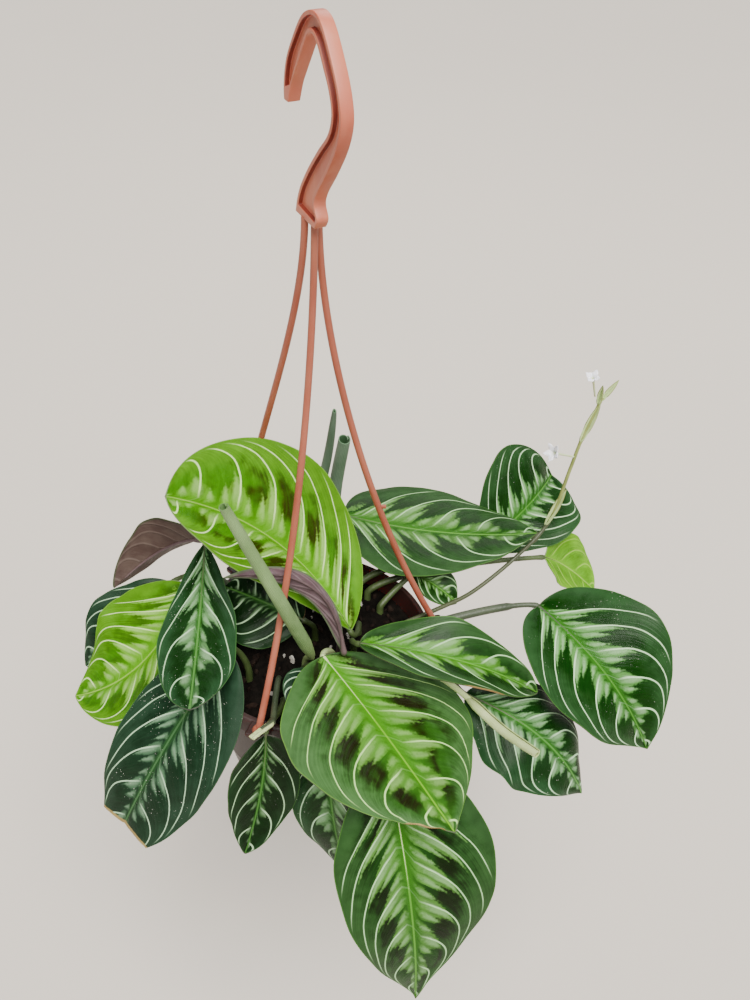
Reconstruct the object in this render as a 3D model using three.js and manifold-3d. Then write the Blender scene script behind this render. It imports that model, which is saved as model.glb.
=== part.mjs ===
// Potted prayer plant (maranta) in a small hanging pot.
// Millimetres, +Z up. X runs to the right and Y away from the viewer, who stands at -Y.
// Everything is laid out in the pot's frame: its origin is the centre of the pot's rim.
// The whole group is then moved so that the hook's saddle, where the pot hangs, is the origin.
import * as THREE from 'three';
import { mergeVertices } from 'three/addons/utils/BufferGeometryUtils.js';
import Module from 'manifold-3d';

const wasm = await Module();
wasm.setup();

// ---------------------------------------------------------------- driving dimensions (mm)
const GAP = 0.3; // clearance between pieces that touch
const TURN = Math.PI * 2;
const OVER = 1; // how far a cutting shape runs past the faces it cuts

const POT = {
  rimRadius: 60.5,
  rimHeight: 11,
  rimThickness: 3,
  wall: 2,
  shoulderRadius: 57.5,
  baseRadius: 41,
  height: 86,
  floor: 2.5,
  sides: 40,
  drainRadius: 3,
  drainCircle: 24,
  drains: 6,
  drainSides: 8,
  bevel: 1,
};
const EAR = {
  reach: 67.5, width: 11, thickness: 3.2, rooted: 1.5, holeRadius: 2.2, holeCircle: 63.6, holeSides: 10,
};
const SOIL = {
  top: -9, crown: 3, bevel: 0.5, slopeAt: 0.55, slopeRise: 0.7, clear: 0.45, sides: 40,
  holeDepth: 24, holeRadius: 2.6, holeSides: 6,
};

const STRAND = { topRadius: 1.35, endRadius: 1.65, sides: 8, steps: 16, plumb: 52, spreadHeight: 72 };
const STRAND_AZIMUTHS = { front: -112, right: 8, back: 128 }; // degrees round the pot
const STRAND_TOPS = { front: [1.3, -2.6], right: [2.9, 1.1], back: [-2.3, 1.2] }; // under the hook's foot
const STRAND_SPREADS = { front: 12, right: 27, back: 57 }; // how far out each swings at spreadHeight
const BARB = { radius: 3.1, height: 3, collar: 1.6, sides: 10 };
const NUB = { along: 0.68, size: 1.6, reach: 3.4 };

const HOOK = { azimuth: 113, width: 4.8, saddleOffset: 6, saddleHeight: 282.4, footDrop: 64.5 };
const HOOK_POCKET = { depth: 1.7, rim: 1.6, from: 0.13, to: 0.955 };
const HOOK_STATIONS = 30;
// The hook's two edges from its tip round the crown to its foot: [along the hook, up], the
// saddle under the crown being [0, 0].
const HOOK_OUTER_EDGE = [
  [24.9, -27.4], [25.2, -23.5], [24, -17], [20.6, -10], [11, 1.6], [4, 6], [-3, 6.7], [-9, 3.4],
  [-17.2, -6.4], [-22, -14.5], [-23.4, -22], [-20, -31], [-12, -42], [-4.4, -51], [-2.2, -56],
  [-4.6, -60.6], [-2.4, -64.5],
];
const HOOK_INNER_EDGE = [
  [21.2, -27.4], [18, -20.4], [14.6, -15.6], [11, -10.8], [6.2, -4.4], [3.4, -1], [0, 0], [-4, -2.2],
  [-9, -8], [-13.6, -14], [-15.8, -20.6], [-13.2, -27.6], [-5, -35.6], [3.4, -44.4], [10, -52.6],
  [13.4, -58.8], [15.2, -64.5],
];

const BLADE = { thickness: 1, rows: 8, halfColumns: 3, widest: 0.9, baseFullness: 0.58, point: 0.85 };
const RIPPLE = { first: 0.6, second: 2.4, waves: 2 }; // where the waves of a leaf's two margins start
const PETIOLE = {
  footRadius: 1.9, tipRadius: 1.2, sides: 5, steps: 8, straight: 2, under: 0.7, sunk: 7, lift: 0.2,
  rise: 0.45, swing: 0.35,
};

// ---------------------------------------------------------------- colours and finishes
function finish(colour, roughness) {
  return new THREE.MeshStandardMaterial({ color: colour, roughness, metalness: 0 });
}
const TERRACOTTA = finish(0xc9694c, 0.5);
const POT_BROWN = finish(0x4a1f17, 0.55);
const SOIL_DARK = finish(0x1d1512, 0.95);
const LEAF_GREEN = finish(0x2f6231, 0.45);
const LEAF_LIME = finish(0x7fae2c, 0.45);
const LEAF_SLATE = finish(0x2a3f35, 0.5);
const LEAF_PURPLE = finish(0x6a3f46, 0.55);
const ROLLED_GREEN = finish(0x7d9673, 0.5);
const ROLLED_PALE = finish(0xc3d397, 0.5);
const STALK_OLIVE = finish(0x6f7f3a, 0.55);
const PETAL_LILAC = finish(0xe9dff0, 0.55);

// ---------------------------------------------------------------- solids
function vector(point) {
  return new THREE.Vector3(point[0], point[1], point[2]);
}

function polar(radius, degrees, height) {
  const angle = THREE.MathUtils.degToRad(degrees);
  return new THREE.Vector3(radius * Math.cos(angle), radius * Math.sin(angle), height);
}

function solidOf(geometry) {
  const bare = geometry.clone();
  bare.deleteAttribute('normal');
  bare.deleteAttribute('uv');
  const merged = mergeVertices(bare, 1e-4);
  const vertProperties = new Float32Array(merged.attributes.position.array);
  const triVerts = new Uint32Array(merged.index.array);
  return new wasm.Manifold(new wasm.Mesh({ numProp: 3, vertProperties, triVerts }));
}

function geometryOf(solid) {
  const mesh = solid.getMesh();
  const geometry = new THREE.BufferGeometry();
  geometry.setAttribute('position', new THREE.BufferAttribute(new Float32Array(mesh.vertProperties), 3));
  geometry.setIndex(new THREE.BufferAttribute(new Uint32Array(mesh.triVerts), 1));
  geometry.computeVertexNormals();
  return geometry;
}

function pieceOf(name, geometry, material) {
  const mesh = new THREE.Mesh(geometry, material);
  mesh.name = name;
  return mesh;
}

function joined(geometries) {
  const solids = geometries.map(solidOf);
  return geometryOf(solids.reduce((whole, part) => whole.add(part)));
}

function indexed(positions, triangles) {
  const geometry = new THREE.BufferGeometry();
  geometry.setAttribute('position', new THREE.Float32BufferAttribute(positions, 3));
  geometry.setIndex(triangles);
  return geometry;
}

// A closed solid whose rings of points all have the same count; flat fans close its ends.
function loft(rings) {
  const count = rings[0].length;
  const positions = rings.flat().flatMap((point) => [point.x, point.y, point.z]);
  const triangles = [];
  for (let r = 0; r + 1 < rings.length; r += 1) {
    for (let i = 0; i < count; i += 1) {
      const a = r * count + i;
      const b = r * count + ((i + 1) % count);
      triangles.push(a, b, b + count, a, b + count, a + count);
    }
  }
  const last = (rings.length - 1) * count;
  for (let i = 1; i + 1 < count; i += 1) {
    triangles.push(0, i + 1, i);
    triangles.push(last, last + i, last + i + 1);
  }
  return indexed(positions, triangles);
}

// A round rod along a curve, whose radius is a function of the way along it, from 0 to 1.
function rod(curve, steps, sides, radiusAt) {
  const frames = curve.computeFrenetFrames(steps, false);
  const rings = [];
  for (let i = 0; i <= steps; i += 1) {
    const along = i / steps;
    const centre = curve.getPointAt(along);
    const radius = radiusAt(along);
    const ring = [];
    for (let k = 0; k < sides; k += 1) {
      const angle = (TURN * k) / sides;
      const point = centre.clone();
      point.addScaledVector(frames.normals[i], radius * Math.cos(angle));
      point.addScaledVector(frames.binormals[i], radius * Math.sin(angle));
      ring.push(point);
    }
    rings.push(ring);
  }
  return loft(rings);
}

function upright(radius, bottom, top, sides, centre) {
  const cylinder = new THREE.CylinderGeometry(radius, radius, top - bottom, sides);
  cylinder.rotateX(Math.PI / 2);
  cylinder.translate(centre.x, centre.y, (top + bottom) / 2);
  return cylinder;
}

function turned(profile, sides) {
  const points = profile.map(([radius, height]) => new THREE.Vector2(radius, height));
  const lathe = new THREE.LatheGeometry(points, sides);
  lathe.rotateX(Math.PI / 2);
  return lathe;
}

// ---------------------------------------------------------------- pot
function potWallRadius(height) {
  const way = (height + POT.rimHeight) / (POT.rimHeight - POT.height);
  return THREE.MathUtils.lerp(POT.shoulderRadius, POT.baseRadius, way);
}

function makePot() {
  const foot = -POT.height;
  const inside = potWallRadius(foot + POT.floor) - POT.wall;
  const body = turned(
    [
      [0, foot],
      [POT.baseRadius, foot],
      [POT.shoulderRadius, -POT.rimHeight],
      [POT.rimRadius - POT.bevel, -POT.rimHeight],
      [POT.rimRadius, -POT.bevel],
      [POT.rimRadius - POT.bevel, 0],
      [POT.rimRadius - POT.rimThickness, 0],
      [POT.shoulderRadius - POT.wall, -POT.rimHeight],
      [inside, foot + POT.floor],
      [0, foot + POT.floor],
    ],
    POT.sides,
  );
  let pot = solidOf(body);
  for (const azimuth of Object.values(STRAND_AZIMUTHS)) {
    const length = EAR.reach - POT.rimRadius + EAR.rooted;
    const ear = new THREE.BoxGeometry(length, EAR.width, EAR.thickness);
    ear.translate(EAR.reach - length / 2, 0, -EAR.thickness / 2);
    ear.rotateZ(THREE.MathUtils.degToRad(azimuth));
    pot = pot.add(solidOf(ear));
    const centre = polar(EAR.holeCircle, azimuth, 0);
    const hole = upright(EAR.holeRadius, -EAR.thickness - OVER, OVER, EAR.holeSides, centre);
    pot = pot.subtract(solidOf(hole));
  }
  for (let i = 0; i < POT.drains; i += 1) {
    const centre = polar(POT.drainCircle, (360 * i) / POT.drains, 0);
    const top = foot + POT.floor + OVER;
    pot = pot.subtract(solidOf(upright(POT.drainRadius, foot - OVER, top, POT.drainSides, centre)));
  }
  return pieceOf('pot', geometryOf(pot), POT_BROWN);
}

// ---------------------------------------------------------------- soil
function makeSoil(feet) {
  const bottom = -POT.height + POT.floor + GAP;
  const clear = POT.wall + SOIL.clear;
  const body = turned(
    [
      [0, bottom],
      [potWallRadius(bottom) - clear, bottom],
      [potWallRadius(-POT.rimHeight) - clear, -POT.rimHeight],
      [potWallRadius(-POT.rimHeight) - clear, SOIL.top - SOIL.bevel],
      [potWallRadius(-POT.rimHeight) * SOIL.slopeAt, SOIL.top + SOIL.crown * SOIL.slopeRise],
      [0, SOIL.top + SOIL.crown],
    ],
    SOIL.sides,
  );
  let soil = solidOf(body);
  for (const foot of feet) {
    const floor = SOIL.top - SOIL.holeDepth;
    const hole = upright(SOIL.holeRadius, floor, SOIL.top + SOIL.crown + OVER, SOIL.holeSides, foot);
    soil = soil.subtract(solidOf(hole));
  }
  return pieceOf('soil', geometryOf(soil), SOIL_DARK);
}

// ---------------------------------------------------------------- hook and strands
const hookWay = polar(1, HOOK.azimuth, 0);
const hookSide = new THREE.Vector3(hookWay.y, -hookWay.x, 0);
const saddle = hookWay.clone().multiplyScalar(-HOOK.saddleOffset).setZ(HOOK.saddleHeight);
const footLevel = HOOK.saddleHeight - HOOK.footDrop;

function edgePoints(edge) {
  const spline = new THREE.SplineCurve(edge.map(([x, y]) => new THREE.Vector2(x, y)));
  return Array.from({ length: HOOK_STATIONS + 1 }, (_, i) => spline.getPoint(i / HOOK_STATIONS));
}

function plateBetween(outer, inner, thickness, offset) {
  const outline = new THREE.Shape([...outer, ...inner.slice().reverse()]);
  const plate = new THREE.ExtrudeGeometry(outline, { depth: thickness, bevelEnabled: false });
  plate.translate(0, 0, offset);
  return plate;
}

function makeHook() {
  const outer = edgePoints(HOOK_OUTER_EDGE);
  const inner = edgePoints(HOOK_INNER_EDGE);
  let hook = solidOf(plateBetween(outer, inner, HOOK.width, -HOOK.width / 2));
  const first = Math.round(HOOK_POCKET.from * HOOK_STATIONS);
  const last = Math.round(HOOK_POCKET.to * HOOK_STATIONS);
  const pocketOuter = [];
  const pocketInner = [];
  for (let i = first; i <= last; i += 1) {
    const across = inner[i].clone().sub(outer[i]).normalize();
    pocketOuter.push(outer[i].clone().addScaledVector(across, HOOK_POCKET.rim));
    pocketInner.push(inner[i].clone().addScaledVector(across, -HOOK_POCKET.rim));
  }
  for (const side of [-1, 1]) {
    const deep = HOOK_POCKET.depth;
    const start = side < 0 ? -HOOK.width / 2 - OVER : HOOK.width / 2 - deep;
    hook = hook.subtract(solidOf(plateBetween(pocketOuter, pocketInner, deep + OVER, start)));
  }
  const mesh = pieceOf('hook', geometryOf(hook), TERRACOTTA);
  const upWay = new THREE.Vector3(0, 0, 1);
  mesh.quaternion.setFromRotationMatrix(new THREE.Matrix4().makeBasis(hookWay, upWay, hookSide));
  mesh.position.copy(saddle);
  return mesh;
}

function strandCurve(which) {
  const azimuth = STRAND_AZIMUTHS[which];
  const top = new THREE.Vector3(STRAND_TOPS[which][0], STRAND_TOPS[which][1], footLevel - GAP);
  const end = polar(EAR.holeCircle, azimuth, 0);
  const plumb = top.clone().setZ(top.z - STRAND.plumb);
  const spread = polar(STRAND_SPREADS[which], azimuth, STRAND.spreadHeight);
  return new THREE.CubicBezierCurve3(top, plumb, spread, end);
}

function makeStrand(which) {
  const curve = strandCurve(which);
  const taper = (along) => THREE.MathUtils.lerp(STRAND.topRadius, STRAND.endRadius, along);
  const rope = solidOf(rod(curve, STRAND.steps, STRAND.sides, taper));
  const centre = polar(EAR.holeCircle, STRAND_AZIMUTHS[which], 0);
  const barbTop = -EAR.thickness - GAP;
  const shank = solidOf(upright(STRAND.endRadius, barbTop - OVER, GAP + OVER, STRAND.sides, centre));
  const barb = solidOf(upright(BARB.radius, barbTop - BARB.height, barbTop, BARB.sides, centre));
  const collar = solidOf(upright(BARB.radius, GAP, GAP + BARB.collar, BARB.sides, centre));
  let strand = rope.trimByPlane([0, 0, 1], GAP).add(shank).add(barb).add(collar);
  if (which === 'right') {
    const nub = new THREE.BoxGeometry(NUB.reach, NUB.size, NUB.size);
    const place = curve.getPointAt(NUB.along);
    nub.translate(place.x + NUB.reach / 2, place.y, place.z);
    strand = strand.add(solidOf(nub));
  }
  return pieceOf(`strand_${which}`, geometryOf(strand), TERRACOTTA);
}

// ---------------------------------------------------------------- leaves
// A leaf is given by the points where its blade starts and ends, the way its upper side faces,
// its width, how far its midrib bows towards that side (arch) and sideways (bend), how steeply
// its halves rise from the midrib (fold, degrees), how its margins turn down (curl, degrees)
// and how far they wave (wave). Where the blade is widest goes by `widest` and how slender its
// tip is by `point`; `skew` makes one half wider than the other.
function leafFrame(leaf) {
  const base = vector(leaf.base);
  const tip = vector(leaf.tip);
  const chord = tip.clone().sub(base);
  const length = chord.length();
  const along = chord.clone().normalize();
  const face = vector(leaf.face);
  face.addScaledVector(along, -face.dot(along)).normalize();
  const side = along.clone().cross(face);
  return { base, length, along, face, side };
}

function midribAt(leaf, frame, way) {
  const bow = 4 * way * (1 - way);
  return frame.base
    .clone()
    .addScaledVector(frame.along, frame.length * way)
    .addScaledVector(frame.face, (leaf.arch ?? 0) * bow)
    .addScaledVector(frame.side, (leaf.bend ?? 0) * bow);
}

function midribWay(leaf, frame, way) {
  const slope = 4 * (1 - 2 * way);
  return frame.along
    .clone()
    .multiplyScalar(frame.length)
    .addScaledVector(frame.face, (leaf.arch ?? 0) * slope)
    .addScaledVector(frame.side, (leaf.bend ?? 0) * slope)
    .normalize();
}

function halfWidthAt(leaf, way) {
  const fullness = THREE.MathUtils.lerp(BLADE.baseFullness, leaf.point ?? BLADE.point, way);
  return (leaf.width / 2) * Math.sin(Math.PI * way ** (leaf.widest ?? BLADE.widest)) ** fullness;
}

function bladePoint(leaf, frame, way, across) {
  const ahead = midribWay(leaf, frame, way);
  const up = frame.face.clone().addScaledVector(ahead, -frame.face.dot(ahead)).normalize();
  const side = ahead.clone().cross(up);
  const share = 1 + (leaf.skew ?? 0) * Math.sign(across);
  const reach = halfWidthAt(leaf, way) * Math.abs(across) * share;
  const turn = (leaf.fold ?? 0) - (leaf.curl ?? 0) * Math.abs(across);
  const angle = THREE.MathUtils.degToRad(turn);
  const phase = across > 0 ? RIPPLE.first : RIPPLE.second;
  const ripple = Math.sin(way * TURN * (leaf.waves ?? RIPPLE.waves) + phase);
  const lift = reach * Math.sin(angle) + (leaf.wave ?? 0) * ripple * across * across;
  const middle = midribAt(leaf, frame, way);
  middle.addScaledVector(side, Math.sign(across) * reach * Math.cos(angle));
  middle.addScaledVector(up, lift);
  return { point: middle, up };
}

function bladeGeometry(leaf, rowCount = BLADE.rows, halfColumns = BLADE.halfColumns) {
  const frame = leafFrame(leaf);
  const columns = 2 * halfColumns + 1;
  const half = BLADE.thickness / 2;
  const positions = [];
  const triangles = [];
  const place = (way, across) => {
    const { point, up } = bladePoint(leaf, frame, way, across);
    const top = point.clone().addScaledVector(up, half);
    const bottom = point.clone().addScaledVector(up, -half);
    positions.push(top.x, top.y, top.z, bottom.x, bottom.y, bottom.z);
    return positions.length / 3 - 2;
  };
  const rows = [];
  for (let r = 1; r <= rowCount; r += 1) {
    const way = 0.5 - 0.5 * Math.cos((Math.PI * r) / (rowCount + 1));
    const row = [];
    for (let c = 0; c < columns; c += 1) {
      row.push(place(way, c / halfColumns - 1));
    }
    rows.push(row);
  }
  const start = place(0, 0);
  const end = place(1, 0);
  const facet = (a, b, c) => triangles.push(a, b, c, c + 1, b + 1, a + 1);
  const rim = (a, b) => triangles.push(a, a + 1, b + 1, a, b + 1, b);
  for (let r = 0; r + 1 < rowCount; r += 1) {
    for (let c = 0; c + 1 < columns; c += 1) {
      facet(rows[r][c], rows[r][c + 1], rows[r + 1][c + 1]);
      facet(rows[r][c], rows[r + 1][c + 1], rows[r + 1][c]);
    }
    rim(rows[r][columns - 1], rows[r + 1][columns - 1]);
    rim(rows[r + 1][0], rows[r][0]);
  }
  const lastRow = rows[rowCount - 1];
  for (let c = 0; c + 1 < columns; c += 1) {
    facet(start, rows[0][c + 1], rows[0][c]);
    facet(lastRow[c], lastRow[c + 1], end);
  }
  rim(start, rows[0][columns - 1]);
  rim(rows[0][0], start);
  rim(lastRow[columns - 1], end);
  rim(end, lastRow[0]);
  return indexed(positions, triangles);
}

// The leaf stalk stands in its hole in the soil, rises, and bends into the start of the midrib.
function petioleCurve(leaf) {
  const frame = leafFrame(leaf);
  const foot = new THREE.Vector3(leaf.foot[0], leaf.foot[1], SOIL.top - SOIL.holeDepth + GAP);
  const clear = foot.clone().setZ(SOIL.top + SOIL.crown + PETIOLE.straight);
  const arrive = midribWay(leaf, frame, 0);
  const inBlade = midribAt(leaf, frame, PETIOLE.sunk / frame.length);
  inBlade.addScaledVector(frame.face, PETIOLE.lift - PETIOLE.under);
  const start = midribAt(leaf, frame, 0);
  start.addScaledVector(frame.face, -PETIOLE.under);
  const stretch = clear.distanceTo(start);
  const rise = clear.clone().add(vector(leaf.rise ?? [0, 0, PETIOLE.rise * stretch]));
  const swing = start.clone().addScaledVector(arrive, -(leaf.swing ?? PETIOLE.swing) * stretch);
  const curve = new THREE.CurvePath();
  curve.add(new THREE.LineCurve3(foot, clear));
  curve.add(new THREE.CubicBezierCurve3(clear, rise, swing, start));
  curve.add(new THREE.LineCurve3(start, inBlade));
  return curve;
}

function petioleGeometry(leaf) {
  const path = petioleCurve(leaf);
  const [buried, bend, sunk] = path.curves;
  const points = [buried.getPoint(0), buried.getPoint(1)];
  for (let i = 1; i < PETIOLE.steps; i += 1) {
    points.push(bend.getPoint(i / PETIOLE.steps));
  }
  points.push(sunk.getPoint(0), sunk.getPoint(1));
  return rodThrough(points, PETIOLE.sides, (along) =>
    THREE.MathUtils.lerp(PETIOLE.footRadius, PETIOLE.tipRadius, along));
}

// A rod straight from point to point, each of its rings square to the way through that point.
function rodThrough(points, sides, radiusAt) {
  const rings = [];
  const last = points.length - 1;
  let across = new THREE.Vector3(1, 0, 0);
  points.forEach((centre, i) => {
    const before = points[Math.max(i - 1, 0)];
    const after = points[Math.min(i + 1, last)];
    const way = after.clone().sub(before).normalize();
    across = across.clone().addScaledVector(way, -across.dot(way)).normalize();
    const up = way.clone().cross(across);
    const radius = radiusAt(i / last);
    rings.push(Array.from({ length: sides }, (_, k) => {
      const angle = (TURN * k) / sides;
      return centre
        .clone()
        .addScaledVector(across, radius * Math.cos(angle))
        .addScaledVector(up, radius * Math.sin(angle));
    }));
  });
  return loft(rings);
}

const LEAVES = [
  {
    name: 'leaf_front_large', colour: LEAF_GREEN, foot: [11, -13], swing: 0.15,
    base: [6, -28, 15], tip: [60, -109, -4], face: [0.52, -0.4, 0.76], width: 97, point: 1,
    arch: 2, fold: 6, curl: 6, wave: 1.2,
  },
  {
    name: 'leaf_front_hanging', colour: LEAF_GREEN, foot: [16, -36], rise: [3, -8, 15], swing: 0.1,
    base: [35, -77, -8], tip: [51, -118, -131], face: [0.2, -0.93, 0.3], width: 74, widest: 0.66,
    skew: -0.12, point: 1.25, arch: 14, fold: 6, curl: 4, wave: 1.5,
  },
  {
    name: 'leaf_bright_upright', colour: LEAF_LIME, foot: [24, 8],
    base: [19, -12, 16], tip: [-65, 1, 88], face: [0.6, -0.5, 0.62], width: 74, widest: 1.35,
    skew: 0.11, point: 0.6, arch: 1, bend: 14, fold: 34, curl: 6, wave: 1.2,
  },
  {
    name: 'leaf_back_broad', colour: LEAF_GREEN, foot: [20, 36], swing: 0.12,
    base: [17, 64, 25], tip: [117, 44, 29], face: [0, -0.05, 1], width: 68, widest: 0.7, arch: -6,
    fold: 12, curl: 13, wave: 1,
  },
  {
    name: 'leaf_back_far', colour: LEAF_GREEN, foot: [24, 38], swing: 0.2, rise: [10, 3, 20],
    base: [95, 69, -4], tip: [137, 107, 18], face: [0.34, -0.47, 0.81], width: 64, widest: 1.3, skew: -0.12,
    point: 0.75, arch: 13, fold: 22, wave: 1.5,
  },
  {
    name: 'leaf_right_lime', colour: LEAF_LIME, foot: [30, 35], rise: [12, 4, 14], swing: 0.05,
    base: [126.5, 56, 1.5], tip: [159, 60, -27], face: [0.12, -0.48, 0.87], width: 32, widest: 0.8,
    skew: -0.15, arch: -2, bend: -4, fold: 20, curl: 8, wave: 1,
  },
  {
    name: 'leaf_right_large', colour: LEAF_GREEN, foot: [34, -5], rise: [12, 0, 16], swing: 0.1,
    base: [114, 9, 11], tip: [165, -40, -38], face: [0.09, -0.54, 0.84], width: 72, widest: 0.8,
    point: 1.05, arch: 16, fold: 20, wave: 1.5,
  },
  {
    name: 'leaf_right_folded', colour: LEAF_GREEN, foot: [21, -9], swing: 0.2,
    base: [23, -28, 24], tip: [106, -37, 0], face: [-0.03, -0.18, 0.98], width: 36, point: 0.75,
    arch: 13, bend: 3, fold: 22, wave: 1.5,
  },
  {
    name: 'leaf_small_back', colour: LEAF_LIME, foot: [36, 24], rise: [4, 3, 5], swing: 0.05,
    base: [54, 37, 7], tip: [76, 26, -4], face: [0.2, -0.4, 0.9], width: 22, arch: 3, fold: 16,
  },
  {
    name: 'leaf_left_narrow', colour: LEAF_SLATE, foot: [-30, 34],
    base: [-52.6, 25.6, 38], tip: [-53, -65, 21.4], face: [0, -0.51, 0.86], width: 37, widest: 1.35,
    point: 0.6, arch: -5, fold: 6, curl: 12, wave: 1.2,
  },
  {
    name: 'leaf_left_lime', colour: LEAF_LIME, foot: [-34, 6],
    base: [-62, 23, 13], tip: [-125, 3, -50], face: [-0.35, -0.42, 0.84], width: 71, widest: 0.8,
    bend: -14, fold: 18, wave: 1.5,
  },
  {
    name: 'leaf_left_far', colour: LEAF_SLATE, foot: [-36, 20],
    base: [-78, 54, -16], tip: [-126, 32, -58], face: [-0.29, -0.43, 0.86], width: 40, widest: 1.05,
    arch: 8, bend: -2, fold: 14, wave: 1.2,
  },
  {
    name: 'leaf_back_turned', colour: LEAF_PURPLE, foot: [-22, 30],
    base: [-63, 68, 4], tip: [-114, 72, -37], face: [-0.18, 0.97, 0.17], width: 38, widest: 0.75,
    point: 0.75, arch: 10, bend: 3, fold: 32, wave: 1,
  },
  {
    name: 'leaf_lower_left', colour: LEAF_SLATE, foot: [-30, -22], swing: 0.15,
    base: [-38.8, -27.2, 18.7], tip: [-96.5, -63.8, -79], face: [-0.3, -0.72, 0.62], width: 56,
    widest: 0.85, skew: -0.12, point: 0.45, arch: 9, fold: 10, curl: 4, wave: 1.5,
  },
  {
    name: 'leaf_lower_small', colour: LEAF_GREEN, foot: [-13, -38], rise: [2, -10, 8], swing: 0.15,
    base: [-20, -68, 9], tip: [-31, -86, -56], face: [0.23, -0.94, 0.26], width: 34, widest: 0.8,
    point: 0.75, arch: -2, bend: -3, fold: 16, wave: 1,
  },
  {
    name: 'leaf_inner_left', colour: LEAF_GREEN, foot: [2, 2],
    base: [-4, -2, 13], tip: [-43, 15, 19], face: [0, -0.6, 0.8], width: 42, skew: -0.15, arch: 4,
    fold: 8, wave: 1,
  },
  {
    name: 'leaf_inner_front', colour: LEAF_SLATE, foot: [-4, -22],
    base: [1, -34, 12], tip: [-9, -56, 9], face: [-0.1, -0.5, 0.85], width: 19, arch: 3, fold: 8,
  },
  {
    name: 'leaf_front_edge', colour: LEAF_SLATE, foot: [4, -42], rise: [0, -8, 5], swing: 0.2,
    base: [8, -66, 4], tip: [17, -84, -74], face: [-0.5, -0.8, 0.3], width: 40, arch: 5, fold: 8,
    wave: 1,
  },
  {
    name: 'leaf_right_low', colour: LEAF_SLATE, foot: [43, -9], rise: [10, 0, 14], swing: 0.1,
    base: [74, -34, -5], tip: [130, -61, -45], face: [0.23, -0.42, 0.88], width: 54, point: 0.75,
    arch: 13, bend: -2, curl: 18, wave: 2, waves: 2.6,
  },
  {
    name: 'leaf_rear_left', colour: LEAF_GREEN, foot: [-14, 40],
    base: [-28, 62, 8], tip: [-36, 118, -56], face: [-0.1, 0.6, 0.7], width: 48, arch: 9, fold: 8,
    wave: 1.5,
  },
  {
    name: 'leaf_rear_middle', colour: LEAF_SLATE, foot: [2, 46],
    base: [-4, 66, 2], tip: [-8, 104, -84], face: [-0.05, 0.85, 0.4], width: 52, arch: 9, fold: 8,
    wave: 1.5,
  },
  {
    name: 'leaf_rear_right', colour: LEAF_GREEN, foot: [14, 43],
    base: [34, 66, 2], tip: [66, 124, -46], face: [0.2, 0.6, 0.7], width: 52, arch: 9, fold: 8,
    wave: 1.5,
  },
  {
    name: 'leaf_young_folded', colour: LEAF_PURPLE, foot: [14, -8], swing: 0.2,
    base: [14.8, -29.9, 21.7], tip: [-37.6, -31.2, 68.6], face: [0, 0.6, -0.75], width: 12.5,
    arch: -6, bend: -16, fold: 44, wave: 0.6,
  },
];

// New leaves that are still rolled: each is a scroll round a line from where its stalk ends to
// its open mouth.
const ROLLED_LEAVES = [
  {
    name: 'rolled_leaf_long', colour: ROLLED_GREEN, foot: [-3, -16],
    line: [[0, -27, 15], [-13, -42, 64], [-35, -39, 115]], radius: 3.6, mouth: 2.4,
  },
  {
    name: 'rolled_leaf_upright', colour: ROLLED_GREEN, foot: [6, 36],
    line: [[10, 50, 22], [12, 45, 60], [15.5, 38, 93]], radius: 3.9, mouth: 3.4,
  },
  {
    name: 'rolled_leaf_spear', colour: ROLLED_GREEN, foot: [-2, 40],
    line: [[2, 52, 40], [8, 52, 72], [11, 47, 103]], radius: 2.8, mouth: 1.2,
  },
  {
    name: 'rolled_leaf_short', colour: LEAF_GREEN, foot: [-8, 30],
    line: [[0, 42, 30], [1, 42, 48], [2, 42, 66]], radius: 4.2, mouth: 3.6,
  },
  {
    name: 'rolled_leaf_pale', colour: ROLLED_PALE, foot: [38, -17],
    line: [[73, -42, 2], [85, -62, 5], [97, -81, 12]], radius: 2.7, mouth: 2.2, rise: [9, -2, 15],
    swing: 0.12,
  },
  {
    name: 'rolled_leaf_small', colour: ROLLED_PALE, foot: [-15, -29],
    line: [[-16.7, -66.2, 15], [-21.3, -70.5, 15.3], [-25.9, -74.8, 15]], radius: 1.8, mouth: 1.6,
    arrive: [0.04, -0.62, 0.78], swing: 0.2,
  },
];
const SCROLL = {
  turns: 1.15, points: 10, rings: 6, tight: 0.62, thickness: 0.8, slim: 0.26, stalk: 1.3,
  start: 0.45, swell: 1.9,
};

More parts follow.
